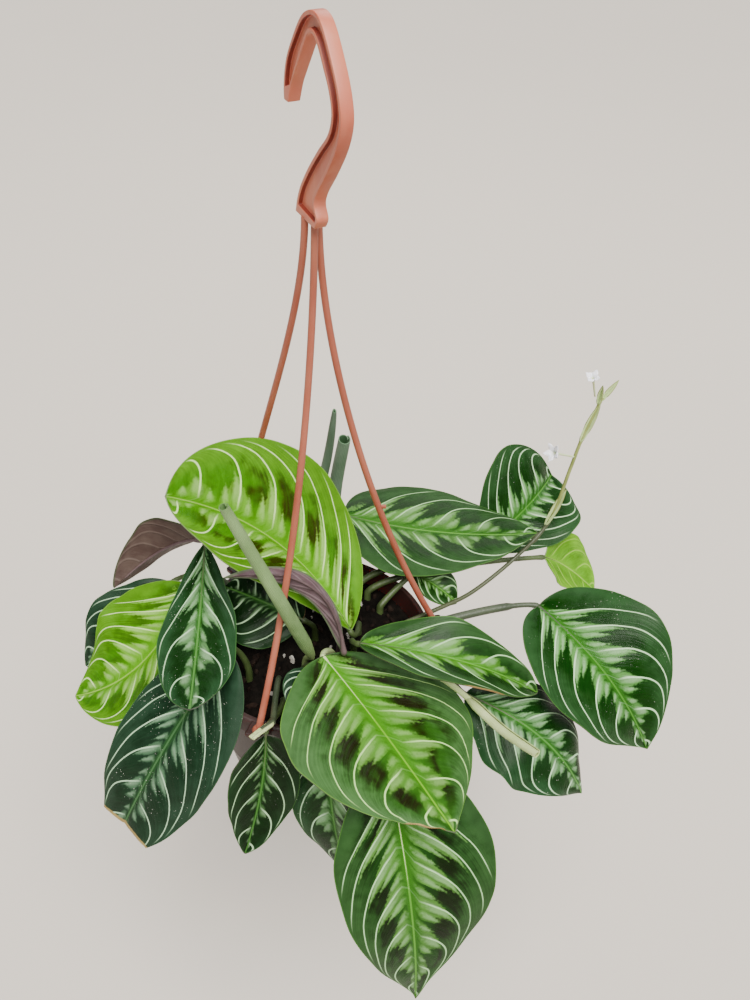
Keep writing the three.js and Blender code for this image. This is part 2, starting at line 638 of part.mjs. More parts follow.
function scrollGeometry(leaf) {
  const curve = new THREE.CatmullRomCurve3(leaf.line.map(vector));
  const frames = curve.computeFrenetFrames(SCROLL.rings - 1, false);
  const positions = [];
  const triangles = [];
  const ring = 2 * SCROLL.points;
  for (let r = 0; r < SCROLL.rings; r += 1) {
    const along = r / (SCROLL.rings - 1);
    const swell = Math.min(1, SCROLL.start + SCROLL.swell * along);
    const radius = THREE.MathUtils.lerp(leaf.radius * swell, leaf.mouth, along ** 3);
    const thick = Math.min(SCROLL.thickness, SCROLL.slim * radius);
    const centre = curve.getPointAt(along);
    for (const inset of [0, thick]) {
      for (let k = 0; k < SCROLL.points; k += 1) {
        const turn = k / (SCROLL.points - 1);
        const reach = radius * THREE.MathUtils.lerp(SCROLL.tight, 1, turn) - inset;
        const angle = TURN * SCROLL.turns * turn;
        const point = centre.clone();
        point.addScaledVector(frames.normals[r], reach * Math.cos(angle));
        point.addScaledVector(frames.binormals[r], reach * Math.sin(angle));
        positions.push(point.x, point.y, point.z);
      }
    }
  }
  const outer = (r, k) => r * ring + k;
  const inner = (r, k) => r * ring + SCROLL.points + k;
  const quad = (a, b, c, d) => triangles.push(a, b, c, a, c, d);
  for (let r = 0; r + 1 < SCROLL.rings; r += 1) {
    for (let k = 0; k + 1 < SCROLL.points; k += 1) {
      quad(outer(r, k), outer(r, k + 1), outer(r + 1, k + 1), outer(r + 1, k));
      quad(inner(r, k), inner(r + 1, k), inner(r + 1, k + 1), inner(r, k + 1));
    }
    const end = SCROLL.points - 1;
    quad(outer(r, 0), outer(r + 1, 0), inner(r + 1, 0), inner(r, 0));
    quad(outer(r, end), inner(r, end), inner(r + 1, end), outer(r + 1, end));
  }
  const top = SCROLL.rings - 1;
  for (let k = 0; k + 1 < SCROLL.points; k += 1) {
    quad(outer(0, k), inner(0, k), inner(0, k + 1), outer(0, k + 1));
    quad(outer(top, k), outer(top, k + 1), inner(top, k + 1), inner(top, k));
  }
  return indexed(positions, triangles);
}

function makeRolledLeaf(leaf) {
  const [start, next] = leaf.line.map(vector);
  const inward = next.clone().sub(start).normalize();
  const arrive = leaf.arrive ? vector(leaf.arrive) : inward;
  const foot = new THREE.Vector3(leaf.foot[0], leaf.foot[1], SOIL.top - SOIL.holeDepth + GAP);
  const clear = foot.clone().setZ(SOIL.top + SOIL.crown + PETIOLE.straight);
  const stretch = clear.distanceTo(start);
  const rise = clear.clone().add(vector(leaf.rise ?? [0, 0, PETIOLE.rise * stretch]));
  const swing = start.clone().addScaledVector(arrive, -(leaf.swing ?? PETIOLE.swing) * stretch);
  const bend = new THREE.CubicBezierCurve3(clear, rise, swing, start);
  const points = [foot, clear];
  for (let i = 1; i <= PETIOLE.steps; i += 1) {
    points.push(bend.getPoint(i / PETIOLE.steps));
  }
  points.push(start.clone().addScaledVector(inward, PETIOLE.sunk));
  const stalk = rodThrough(points, PETIOLE.sides, () => SCROLL.stalk);
  return pieceOf(leaf.name, joined([scrollGeometry(leaf), stalk]), leaf.colour);
}

// ---------------------------------------------------------------- flower stalk and blossoms
const FLOWER_STALK = {
  foot: [46, 6],
  line: [[48, 8, 1], [66, 17, 2], [84, 27, 4], [107, 42, 14], [125, 55, 28], [132, 60, 58], [136, 63, 76]],
  end: [143, 67, 97],
  radius: 1.2,
  endRadius: 0.8,
  steps: 16,
};
// Sheathing bracts on the flower stalk: where each starts and ends, and its width.
const BRACTS = [
  { base: [123, 54, 26], tip: [132, 59, 46], width: 5 },
  { base: [135, 62, 74], tip: [142.5, 66, 95], width: 5 },
  { base: [141, 66, 94], tip: [141, 64, 106], width: 3.4 },
  { base: [142, 66.5, 95], tip: [150, 69, 106], width: 3.4 },
];
const BRACT = { face: [-0.3, -0.8, 0.3], fold: 24, arch: -1, rows: 4, halfColumns: 1 };

function makeFlowerStalk() {
  const bottom = SOIL.top - SOIL.holeDepth + GAP;
  const foot = new THREE.Vector3(FLOWER_STALK.foot[0], FLOWER_STALK.foot[1], bottom);
  const clear = foot.clone().setZ(SOIL.top + SOIL.crown);
  const curve = new THREE.CatmullRomCurve3([...FLOWER_STALK.line, FLOWER_STALK.end].map(vector));
  const points = [foot, clear, ...curve.getPoints(FLOWER_STALK.steps)];
  const stalk = rodThrough(points, PETIOLE.sides, (along) =>
    THREE.MathUtils.lerp(FLOWER_STALK.radius, FLOWER_STALK.endRadius, along));
  const bracts = BRACTS.map((bract) => {
    const shape = { ...BRACT, ...bract };
    return bladeGeometry(shape, BRACT.rows, BRACT.halfColumns);
  });
  return pieceOf('flower_stalk', joined([stalk, ...bracts]), STALK_OLIVE);
}

// A small blossom: a short stalk that ends clear of the flower stalk, and its petals.
const BLOSSOMS = [
  { name: 'blossom_lower', start: [132.7, 60.5, 66], end: [121, 54, 73], petals: 5, length: 6.5 },
  { name: 'blossom_upper', start: [138.7, 65.4, 99], end: [134.5, 61, 112], petals: 4, length: 5 },
];
const PETAL = { width: 3.6, arch: 0.8, spread: 50, stalk: 0.6, rooted: 1, rows: 2, halfColumns: 1 };

function makeBlossom(blossom) {
  const start = vector(blossom.start);
  const end = vector(blossom.end);
  const way = end.clone().sub(start).normalize();
  const across = new THREE.Vector3(0, 0, 1).cross(way).normalize();
  const tilt = THREE.MathUtils.degToRad(PETAL.spread);
  const stalk = rodThrough([start, start.clone().lerp(end, 0.5), end], PETIOLE.sides, () => PETAL.stalk);
  const parts = [stalk];
  for (let k = 0; k < blossom.petals; k += 1) {
    const out = across.clone().applyAxisAngle(way, (TURN * k) / blossom.petals);
    const reach = way.clone().multiplyScalar(Math.cos(tilt)).addScaledVector(out, Math.sin(tilt));
    const base = end.clone().addScaledVector(way, -PETAL.rooted);
    const tip = base.clone().addScaledVector(reach, blossom.length);
    const petal = { ...PETAL, base: base.toArray(), tip: tip.toArray(), face: way.toArray() };
    parts.push(bladeGeometry(petal, PETAL.rows, PETAL.halfColumns));
  }
  return pieceOf(blossom.name, joined(parts), PETAL_LILAC);
}

function makeLeaf(leaf) {
  return pieceOf(leaf.name, joined([bladeGeometry(leaf), petioleGeometry(leaf)]), leaf.colour);
}

// ---------------------------------------------------------------- the whole plant
const plant = new THREE.Group();
plant.position.copy(saddle).multiplyScalar(-1);
plant.add(makePot());
plant.add(makeHook());
for (const which of Object.keys(STRAND_AZIMUTHS)) {
  plant.add(makeStrand(which));
}
for (const leaf of LEAVES) {
  plant.add(makeLeaf(leaf));
}
for (const leaf of ROLLED_LEAVES) {
  plant.add(makeRolledLeaf(leaf));
}
plant.add(makeFlowerStalk());
for (const blossom of BLOSSOMS) {
  plant.add(makeBlossom(blossom));
}
const feet = [...LEAVES, ...ROLLED_LEAVES, FLOWER_STALK].map(({ foot }) => vector([...foot, 0]));
plant.add(makeSoil(feet));

export default plant;
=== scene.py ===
"""Dresses a prayer plant (maranta) in its small hanging pot.

Leaves, stalks, hanger and pot are laid out in millimetres in the pot's frame: its origin is the
centre of the pot's rim, +Z is up, +X is right and +Y is away from the viewer. metres() takes a
point from there to the frame of the CAD model, whose origin is the saddle of the hook.
"""
import functools
import math
import random

import bpy
from mathutils import Matrix, Vector, noise


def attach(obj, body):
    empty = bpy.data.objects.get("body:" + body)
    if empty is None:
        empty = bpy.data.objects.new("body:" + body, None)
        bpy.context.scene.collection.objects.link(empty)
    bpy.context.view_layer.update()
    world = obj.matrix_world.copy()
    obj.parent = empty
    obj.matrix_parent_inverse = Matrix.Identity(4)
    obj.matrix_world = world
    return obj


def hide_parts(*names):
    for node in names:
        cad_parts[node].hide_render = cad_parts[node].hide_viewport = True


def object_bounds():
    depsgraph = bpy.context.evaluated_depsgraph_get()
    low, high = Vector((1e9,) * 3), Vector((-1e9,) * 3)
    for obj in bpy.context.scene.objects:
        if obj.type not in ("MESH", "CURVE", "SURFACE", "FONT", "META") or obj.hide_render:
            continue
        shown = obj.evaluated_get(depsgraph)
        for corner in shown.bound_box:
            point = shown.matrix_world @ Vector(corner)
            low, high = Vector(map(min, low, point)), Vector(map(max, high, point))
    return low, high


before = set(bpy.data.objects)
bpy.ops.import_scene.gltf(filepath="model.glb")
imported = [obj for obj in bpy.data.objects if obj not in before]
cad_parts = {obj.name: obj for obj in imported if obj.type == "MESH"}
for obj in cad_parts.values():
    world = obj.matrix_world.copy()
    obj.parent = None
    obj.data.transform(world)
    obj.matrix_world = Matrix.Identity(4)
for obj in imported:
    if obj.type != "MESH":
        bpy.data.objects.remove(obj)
cad_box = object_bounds()

bl_info = {
    "name": "Hanging prayer plant",
    "version": (1, 0, 0),
    "blender": (4, 5, 0),
    "location": "View3D > Sidebar > Plant",
    "description": "Models a prayer plant with veined leaves in a small plastic hanging pot",
    "category": "Add Mesh",
}

# ------------------------------------------------------------------ sizes (mm, pot's frame)
MM = 0.001
UP = Vector((0, 0, 1))
WELD = 1e-6  # metres between points that are merged
HOOK_AZIMUTH = math.radians(113)
SADDLE_OFFSET = 6
SADDLE_HEIGHT = 282.4
FOOT_DROP = 64.5
HOOK_WAY = Vector((math.cos(HOOK_AZIMUTH), math.sin(HOOK_AZIMUTH), 0))
SADDLE = HOOK_WAY * -SADDLE_OFFSET + UP * SADDLE_HEIGHT
FOOT_LEVEL = SADDLE_HEIGHT - FOOT_DROP

RIM_RADIUS = 60.5
RIM_HEIGHT = 11
RIM_THICKNESS = 3
WALL = 2
SHOULDER_RADIUS = 57.5
BASE_RADIUS = 41
POT_HEIGHT = 86
POT_FLOOR = 2.5
POT_RIDGE = ((-60, 0), (-59.2, 0.35), (-57.8, 0.35), (-57, 0))  # a line round it: (up, out)
EAR_CIRCLE = 63.6
EAR_REACH = 67.5
EAR_WIDTH = 11
EAR_THICKNESS = 3.2
EAR_HOLE = 2.2
DRAINS = 6
DRAIN_RADIUS = 3
DRAIN_CIRCLE = 24
SOIL_TOP = -9
SOIL_CROWN = 3
HOLE_DEPTH = 24
GAP = 0.3

STRANDS = {
    "front": dict(azimuth=-112, top=(1.3, -2.6), spread=12),
    "right": dict(azimuth=8, top=(2.9, 1.1), spread=27),
    "back": dict(azimuth=128, top=(-2.3, 1.2), spread=57),
}
STRAND_PLUMB = 52  # how far down from the hook a strand's curve heads straight down
STRAND_SPREAD_HEIGHT = 72  # and the height that it heads for before its ear
STRAND_RADIUS = 1.4
STRAND_END_RADIUS = 1.65
STRAND_OVAL = 0.86
BARB_RADIUS = 3.1
BARB_TIP_RADIUS = 1.2
BARB_LENGTH = 3.2
COLLAR_RADIUS = 3.1
COLLAR_TOP_RADIUS = 2.2
COLLAR_HEIGHT = 1.6
NUB_WAY = 0.66  # how far down the right strand its nub is
NUB_OUT = 1.7
NUB_SIZE = (3.6, 1.5, 1.5)

HOOK_WIDTH = 4.8
HOOK_RIM = 1.6
POCKET_DEPTH = 1.7
POCKET_FROM = 0.06
POCKET_TO = 0.955
# The hook's two edges from its tip round the crown to its foot, each point as (along the hook, up)
# from the saddle.
HOOK_OUTER_EDGE = [
    (24.9, -27.4), (25.2, -23.5), (24, -17), (20.6, -10), (11, 1.6), (4, 6), (-3, 6.7), (-9, 3.4),
    (-17.2, -6.4), (-22, -14.5), (-23.4, -22), (-20, -31), (-12, -42), (-4.4, -51), (-2.2, -56),
    (-4.6, -60.6), (-2.4, -64.5),
]
HOOK_INNER_EDGE = [
    (21.2, -27.4), (18, -20.4), (14.6, -15.6), (11, -10.8), (6.2, -4.4), (3.4, -1), (0, 0),
    (-4, -2.2), (-9, -8), (-13.6, -14), (-15.8, -20.6), (-13.2, -27.6), (-5, -35.6), (3.4, -44.4),
    (10, -52.6), (13.4, -58.8), (15.2, -64.5),
]

# ------------------------------------------------------------------ leaves
# foot: where the stalk stands in the soil. rise: where its curve first heads from there, or None
# for straight up. swing: how long before the blade it heads the blade's way. stalk: its finish.
# sheath: from where to where along the stalk a sheath clasps it. base, tip: where the blade starts
# and ends. face: the way its upper side looks. width, widest, point: under 1, widest puts the
# greatest width nearer the base; a low point makes a blunt tip. skew: how uneven the halves are, as
# a share of their width. arch, bend: how far the midrib bows up and sideways. fold, curl: how
# steeply the halves rise from the midrib and turn down again (degrees). wave, waves: how far and
# how often the margins wave. end: where the blade is cut off. bites: notches in the margins, each
# (side, along, depth, reach along); one of negative depth swells out. look: which of BLADE_LOOKS it
# has. veins: side veins in each half. patch: how clearly the dark places show. worn: brown places,
# each (across, along, reach across, reach along).
LEAF_DEFAULTS = dict(
    arch=0, bend=0, fold=0, curl=0, wave=0, waves=2, skew=0, widest=0.9, point=0.85, rise=None,
    swing=0.35, veins=6, worn=(), bites=(), end=1, patch=1.0, stalk="stalk_green",
    sheath=(0, 0),
)
LEAVES = [
    dict(name="leaf_front_large", look="fresh", foot=(11, -13), swing=0.15, base=(6, -28, 15),
         tip=(60, -109, -4), face=(0.52, -0.4, 0.76), width=97, point=1, arch=2, fold=6, curl=6,
         wave=1.2, veins=6, patch=1.0, worn=((0.98, 0.92, 0.08, 0.06),), stalk="stalk_pale",
         bites=((1, 0.84, 0.05, 0.02), (1, 0.9, 0.1, 0.02), (1, 0.96, 0.25, 0.015))),
    dict(name="leaf_front_hanging", look="green", foot=(16, -36), rise=(3, -8, 15), swing=0.1,
         base=(35, -77, -8), tip=(51, -118, -131), face=(0.2, -0.93, 0.3), width=74, widest=0.66,
         skew=-0.12, point=1.25, arch=14, fold=6, curl=4, wave=1.5, veins=7, patch=1.0,
         bites=((1, 0.86, -0.25, 0.12), (-1, 0.9, 0.3, 0.08)), stalk="stalk_pale"),
    dict(name="leaf_bright_upright", look="lime", foot=(24, 8), base=(19, -12, 16),
         tip=(-65, 1, 88), face=(0.6, -0.5, 0.62), width=74, widest=1.35, skew=0.11, point=0.45,
         arch=1, bend=14, fold=34, curl=6, wave=1.2, veins=7),
    dict(name="leaf_back_broad", look="green", foot=(20, 36), swing=0.12, base=(17, 64, 25),
         tip=(117, 44, 29), face=(0, -0.05, 1), width=68, widest=0.7, arch=-6, fold=12, curl=13,
         wave=1, veins=5, patch=0.4),
    dict(name="leaf_back_far", look="deep", foot=(24, 38), swing=0.2, rise=(10, 3, 20),
         base=(95, 69, -4), tip=(137, 107, 18), face=(0.34, -0.47, 0.81), width=64, widest=1.3,
         skew=-0.12, point=0.75, arch=13, fold=22, wave=1.5, veins=6, patch=0.5),
    dict(name="leaf_right_lime", look="bright", foot=(30, 35), rise=(12, 4, 14), swing=0.05,
         base=(126.5, 56, 1.5), tip=(159, 60, -27), face=(0.12, -0.48, 0.87), width=32, widest=0.8,
         skew=-0.15, arch=-2, bend=-4, fold=20, curl=8, wave=1, veins=4, patch=0.2),
    dict(name="leaf_right_large", look="deep", foot=(34, -5), rise=(12, 0, 16), swing=0.1,
         base=(114, 9, 11), tip=(165, -40, -38), face=(0.09, -0.54, 0.84), width=72, widest=0.8,
         point=1.05, arch=16, fold=20, wave=1.5, veins=6, patch=0.5, stalk="stalk_dark",
         sheath=(0.35, 0.72)),
    dict(name="leaf_right_folded", look="vivid", foot=(21, -9), swing=0.2, base=(23, -28, 24),
         tip=(106, -37, 0), face=(-0.03, -0.18, 0.98), width=36, point=0.75, arch=13, bend=3,
         fold=22, wave=1.5, veins=4, patch=0.35, worn=((1.0, 0.62, 0.04, 0.12),)),
    dict(name="leaf_small_back", look="green", foot=(36, 24), rise=(4, 3, 5), swing=0.05,
         base=(54, 37, 7), tip=(76, 26, -4), face=(0.2, -0.4, 0.9), width=22, arch=3, fold=16,
         veins=4, patch=0.3),
    dict(name="leaf_left_narrow", look="moss", foot=(-30, 34), base=(-52.6, 25.6, 38),
         tip=(-53, -65, 21.4), face=(0, -0.51, 0.86), width=37, widest=1.35, point=0.6, arch=-5,
         fold=6, curl=12, wave=1.2, veins=4, patch=0.4),
    dict(name="leaf_left_lime", look="lime", foot=(-34, 6), base=(-62, 23, 13), tip=(-125, 3, -50),
         face=(-0.35, -0.42, 0.84), width=71, widest=0.8, bend=-14, fold=18, wave=1.5, veins=6,
         patch=0.45),
    dict(name="leaf_left_far", look="slate", foot=(-36, 20), base=(-78, 54, -16),
         tip=(-126, 32, -58), face=(-0.29, -0.43, 0.86), width=40, widest=1.05, arch=8, bend=-2,
         fold=14, wave=1.2, veins=5, patch=0.3),
    dict(name="leaf_back_turned", look="green", foot=(-22, 30), base=(-63, 68, 4),
         tip=(-114, 72, -37), face=(-0.18, 0.97, 0.17), width=38, widest=0.75, point=0.75, arch=10,
         bend=3, fold=32, wave=1, veins=5, patch=0.4, stalk="stalk_mauve"),
    dict(name="leaf_lower_left", look="slate", foot=(-30, -22), swing=0.15,
         base=(-38.8, -27.2, 18.7), tip=(-96.5, -63.8, -79), face=(-0.3, -0.72, 0.62), width=56,
         widest=0.85, skew=-0.12, point=0.45, arch=9, fold=10, curl=4, wave=1.5, veins=6, patch=0.3,
         end=0.9, worn=((0, 0.9, 1.4, 0.018),)),
    dict(name="leaf_lower_small", look="forest", foot=(-13, -38), rise=(2, -10, 8), swing=0.15,
         base=(-20, -68, 9), tip=(-31, -86, -56), face=(0.23, -0.94, 0.26), width=34, widest=0.8,
         point=0.75, arch=-2, bend=-3, fold=16, wave=1, veins=4, patch=0.4),
    dict(name="leaf_inner_left", look="forest", foot=(2, 2), base=(-4, -2, 13), tip=(-43, 15, 19),
         face=(0, -0.6, 0.8), width=42, skew=-0.15, arch=4, fold=8, wave=1, veins=5, patch=0.3,
         worn=((1.0, 0.45, 0.16, 0.5),),
         bites=((1, 0.22, 0.1, 0.04), (1, 0.4, 0.16, 0.05), (1, 0.6, 0.12, 0.03))),
    dict(name="leaf_inner_front", look="slate", foot=(-4, -22), base=(1, -34, 12), tip=(-9, -56, 9),
         face=(-0.1, -0.5, 0.85), width=19, arch=3, fold=8, veins=4, patch=0.3),
    dict(name="leaf_front_edge", look="moss", foot=(4, -42), rise=(0, -8, 5), swing=0.2,
         base=(8, -66, 4), tip=(17, -84, -74), face=(-0.5, -0.8, 0.3), width=40, arch=5, fold=8,
         wave=1, veins=4, patch=0.4),
    dict(name="leaf_right_low", look="moss", foot=(43, -9), rise=(10, 0, 14), swing=0.1,
         base=(74, -34, -5), tip=(130, -61, -45), face=(0.23, -0.42, 0.88), width=54, point=0.75,
         arch=13, bend=-2, curl=18, wave=2, waves=2.6, veins=6, patch=0.5),
    dict(name="leaf_rear_left", look="green", foot=(-14, 40), base=(-28, 62, 8),
         tip=(-36, 118, -56), face=(-0.1, 0.6, 0.7), width=48, arch=9, fold=8, wave=1.5, veins=6,
         patch=0.7),
    dict(name="leaf_rear_middle", look="slate", foot=(2, 46), base=(-4, 66, 2), tip=(-8, 104, -84),
         face=(-0.05, 0.85, 0.4), width=52, arch=9, fold=8, wave=1.5, veins=6, patch=0.5),
    dict(name="leaf_rear_right", look="green", foot=(14, 43), base=(34, 66, 2), tip=(66, 124, -46),
         face=(0.2, 0.6, 0.7), width=52, arch=9, fold=8, wave=1.5, veins=6, patch=0.7),
    dict(name="leaf_young_folded", look="fresh", foot=(14, -8), swing=0.2, base=(14.8, -29.9, 21.7),
         tip=(-37.6, -31.2, 68.6), face=(0, 0.6, -0.75), width=12.5, arch=-6, bend=-16, fold=44,
         wave=0.6, veins=6, patch=0.3, stalk="stalk_mauve"),
]
# line: from where the stalk ends to the open mouth. arrive: the way the stalk comes up to it.
# radius, mouth: half the roll's width, along it and at its mouth. The rest is as for open leaves.
ROLL_DEFAULTS = dict(rise=None, swing=0.35, arrive=None, stalk=None)
ROLLED_LEAVES = [
    dict(name="rolled_leaf_long", look="rolled_green", foot=(-3, -16), radius=3.6, mouth=2.4,
         line=((0, -27, 15), (-13, -42, 64), (-35, -39, 115))),
    dict(name="rolled_leaf_upright", look="rolled_grey", foot=(6, 36), radius=3.9, mouth=3.4,
         line=((10, 50, 22), (12, 45, 60), (15.5, 38, 93))),
    dict(name="rolled_leaf_spear", look="rolled_grey", foot=(-2, 40), radius=2.8, mouth=1.2,
         line=((2, 52, 40), (8, 52, 72), (11, 47, 103))),
    dict(name="rolled_leaf_short", look="rolled_deep", foot=(-8, 30), radius=4.2, mouth=3.6,
         line=((0, 42, 30), (1, 42, 48), (2, 42, 66))),
    dict(name="rolled_leaf_pale", look="rolled_pale_lit", foot=(38, -17), radius=2.7, mouth=2.2,
         line=((73, -42, 2), (85, -62, 5), (97, -81, 12)), rise=(9, -2, 15), swing=0.12),
    dict(name="rolled_leaf_small", look="rolled_pale_lit", foot=(-15, -29), radius=1.8, mouth=1.6,
         line=((-16.7, -66.2, 15), (-21.3, -70.5, 15.3), (-25.9, -74.8, 15)),
         arrive=(0.04, -0.62, 0.78), swing=0.2, stalk="stalk_dark"),
]

# ------------------------------------------------------------------ forms and finishes
# Lengths in the next two groups are in mm, where nothing else is said.
BASE_FULLNESS = 0.58  # how slender the base is: a low one is round
WOBBLE = 0.05  # the uneven outline, a share of the half width
FRILL = 0.5  # how far an edge rises and falls
RIPPLE_STARTS = (0.6, 2.4)  # radians, where the waves of the right and of the left margin start
FIRST_LEAN = 0.18  # how far side veins lean towards the tip, from the first to the later ones,
LATER_LEAN = 0.34
FIRST_SWEEP = 0.14  # and how far they sweep on to it near the margin
LATER_SWEEP = 0.42
LEAN_CHANGE = (-0.1, 0.35)  # where on the midrib the first kind turns into the later one
VEIN_SEARCH = (-0.9, 1.0)  # where on the midrib a side vein may start
VEIN_HALVINGS = 18
VEIN_CROWD = 0.18  # how closely they stand near the base,
VEIN_CROWD_FALL = 8  # and how soon that fades
VEIN_SHIFT = 0.22  # how far those of the two halves stand apart, in gaps
VEINLESS_GAP = 12  # where a blade's base has no side veins
VEIN_HALF_WIDTH = 0.33
QUILT_SHARE = 0.035  # how far the blade bulges between side veins, for each mm between them
QUILT_LIMIT = 0.5
RIB_GROOVE = 0.15  # the groove over the midrib
MIDRIB_SINK = 0.7  # how far below the blade the midrib starts
MIDRIB_RADIUS = 0.95
MIDRIB_END_RADIUS = 0.3
STALK_FOOT_RADIUS = 1.9
STALK_RADIUS = 1.15
STALK_SWELL = 0.35  # the joint just below a blade
SHEATH_THICKNESS = 0.6

ROLL_TURNS = 1.15
ROLL_TIGHT = 0.62  # the innermost turn's radius, a share of the outermost one's
ROLL_START = 0.6  # how wide a roll starts, a share of its radius,
ROLL_OPENING = 2.4  # and how fast it widens
ROLL_LIP = 0.5
ROLL_INSET = 0.25
ROLL_THICKNESS = 0.45
ROLL_STALK_RADII = (1.6, 1.35)
ROLL_STALK_RUN = (3.5, 7)  # the stalk runs on inside the roll through these places
ROLL_MARKS = ("round", "along")

BLADE_RELIEF = 0.00025  # metres, as the other two
PLASTIC_RELIEF = 0.00004
CRUMB_RELIEF = 0.0006
BROWN = (0.17, 0.1, 0.035)
STRAW = (0.3, 0.25, 0.09)
STALK_DARK = (0.022, 0.03, 0.014)
STALK_FADE = 0.012  # metres
PLASTIC_ROUGHNESS = 0.34
PALE_STREAK = (0.5, 0.19, 0.11)
# Painted shade: the pocket's walls get this darker red, for the shade that the hook's raised rims
# cast into them.
POCKET_WALL_SHADE = (0.1, 0.01, 0.006)
POCKET_WALL_SHADE_PALER = (0.16, 0.022, 0.012)
STRAND_SHADE = 0.62  # how much deeper the strands' colour is than the hook's
PETAL_THROAT = (0.5, 0.56, 0.3)
# The soil's colours are near black: partly the moist mix's own colour, partly painted shade from
# the leaves over it.
SOIL_PALER_SHADED = (0.007, 0.005, 0.0035)
# Perlite colours, dimmed below the grains' own white partly as painted shade in the pot; dust on
# the leaves uses the same white.
PERLITE_WHITE = (0.5, 0.48, 0.44)
PERLITE_SHADE = (0.25, 0.23, 0.2)
BARK_DARK = (0.008, 0.005, 0.004)
BARK_LIGHT = (0.02, 0.012, 0.008)
GRAIN_SEED = 11
PERLITE_SIZES = (0.8, 1.9)  # mm
BARK_SIZES = (0.9, 2.6)

FLOOR_SIZE = 12  # metres
SKY_COLOUR = (0.9, 0.94, 1.0)
SKY_STRENGTH = 0.34
SUN = dict(way=(-0.1, 0.7, -1.2), power=8.5, spread=38, colour=(1.0, 0.97, 0.92))
LIGHTS = (
    dict(name="fill", place=(1.6, -1.2, 0.6), aim=(0, 0, -0.25), size=1.6, power=11,
         colour=(0.95, 0.97, 1.0)),
    dict(name="back", place=(0.3, 1.4, 1.2), aim=(0, 0, -0.2), size=1.4, power=20,
         colour=(1.0, 0.98, 0.95)),
)

FLOWER_FOOT = (46, 6)
FLOWER_LINE = (
    (48, 8, 1), (66, 17, 2), (84, 27, 4), (107, 42, 14), (125, 55, 28), (132, 60, 58),
    (136, 63, 76), (143, 67, 97),
)
FLOWER_DARK_HEIGHT = 26
FLOWER_RADIUS = 1.2
FLOWER_END_RADIUS = 0.8
FLOWER_JOINTS = (0.52, 0.86)  # where on the stalk, and how far they reach, as shares of its length
FLOWER_JOINT_REACH = 0.02
FLOWER_JOINT_SWELL = 0.5
BRACTS = (
    dict(name="bract_lower", base=(123, 54, 26), tip=(132, 59, 46), width=5),
    dict(name="bract_upper", base=(135, 62, 74), tip=(142.5, 66, 95), width=5),
    dict(name="bract_left", base=(141, 66, 94), tip=(141, 64, 106), width=3.4),
    dict(name="bract_right", base=(142, 66.5, 95), tip=(150, 69, 106), width=3.4),
)
BRACT_FORM = dict(LEAF_DEFAULTS, face=(-0.3, -0.8, 0.3), fold=44, arch=-1, veins=3)
BLOSSOMS = (
    dict(name="blossom_lower", start=(132.7, 60.5, 66), end=(121, 54, 73), petals=5, length=6.5),
    dict(name="blossom_upper", start=(138.7, 65.4, 99), end=(134.5, 61, 112), petals=4, length=5),
)
BRACT_GRID = (12, 20)  # faces across and along
PETAL_GRID = (10, 14)
BLOSSOM_STALK_RADII = (0.45, 0.6)
PETAL_FORM = dict(LEAF_DEFAULTS, width=3.4, arch=0.8, fold=10, curl=20, wave=0.3, veins=2)
PETAL_THICKNESS = 0.00025  # metres
PETAL_SPREAD = 50  # degrees between a petal and its stalk


# ------------------------------------------------------------------ places and curves
def metres(point):
    return (Vector(point) - SADDLE) * MM


def polar(radius, degrees, height):
    angle = math.radians(degrees)
    return Vector((radius * math.cos(angle), radius * math.sin(angle), height))


def blend(first, second, amount):
    return first + (second - first) * amount


def smooth(value, start, end):
    """0 before start, 1 after end, and an even S between them."""
    way = min(max((value - start) / (end - start), 0), 1)
    return way * way * (3 - 2 * way)


def along_spline(points, way):
    """The point at way, 0 to 1, of the smooth curve through the points."""
    last = len(points) - 1
    spot = min(way * last, last - 1e-6)
    start = int(spot)
    part = spot - start
    p0, p1, p2, p3 = (Vector(points[min(max(start + k, 0), last)]) for k in (-1, 0, 1, 2))
    slope1 = (p2 - p0) / 2
    slope2 = (p3 - p1) / 2
    return (
        p1 * (2 * part**3 - 3 * part**2 + 1)
        + slope1 * (part**3 - 2 * part**2 + part)
        + p2 * (3 * part**2 - 2 * part**3)
        + slope2 * (part**3 - part**2)
    )


def along_bezier(p0, p1, p2, p3, way):
    rest = 1 - way
    return p0 * rest**3 + p1 * (3 * rest**2 * way) + p2 * (3 * rest * way**2) + p3 * way**3


def frames_along(points):
    """At each point: its place, and two directions square to the way through it."""
    frames = []
    last = len(points) - 1
    across = Vector((1, 0, 0))
    for index, centre in enumerate(points):
        way = (points[min(index + 1, last)] - points[max(index - 1, 0)]).normalized()
        across = (across - way * across.dot(way)).normalized()
        frames.append((centre, across, way.cross(across)))
    return frames


# ------------------------------------------------------------------ shaping by hand
def deselect():
    if bpy.context.object and bpy.context.object.mode != "OBJECT":
        bpy.ops.object.mode_set(mode="OBJECT")
    bpy.ops.object.select_all(action="DESELECT")


def select_only(piece):
    deselect()
    piece.select_set(True)
    bpy.context.view_layer.objects.active = piece


def name_piece(name):
    piece = bpy.context.object
    piece.name = name
    piece.data.name = name
    return piece


def weld(piece, close=False):
    """Merges points that meet, and closes open ends where asked."""
    select_only(piece)
    bpy.ops.object.mode_set(mode="EDIT")
    bpy.ops.mesh.select_all(action="SELECT")
    bpy.ops.mesh.remove_doubles(threshold=WELD)
    if close:
        bpy.ops.mesh.select_all(action="SELECT")
        bpy.ops.mesh.fill_holes(sides=0)
        bpy.ops.mesh.select_all(action="SELECT")
        bpy.ops.mesh.normals_make_consistent(inside=False)
    bpy.ops.object.mode_set(mode="OBJECT")


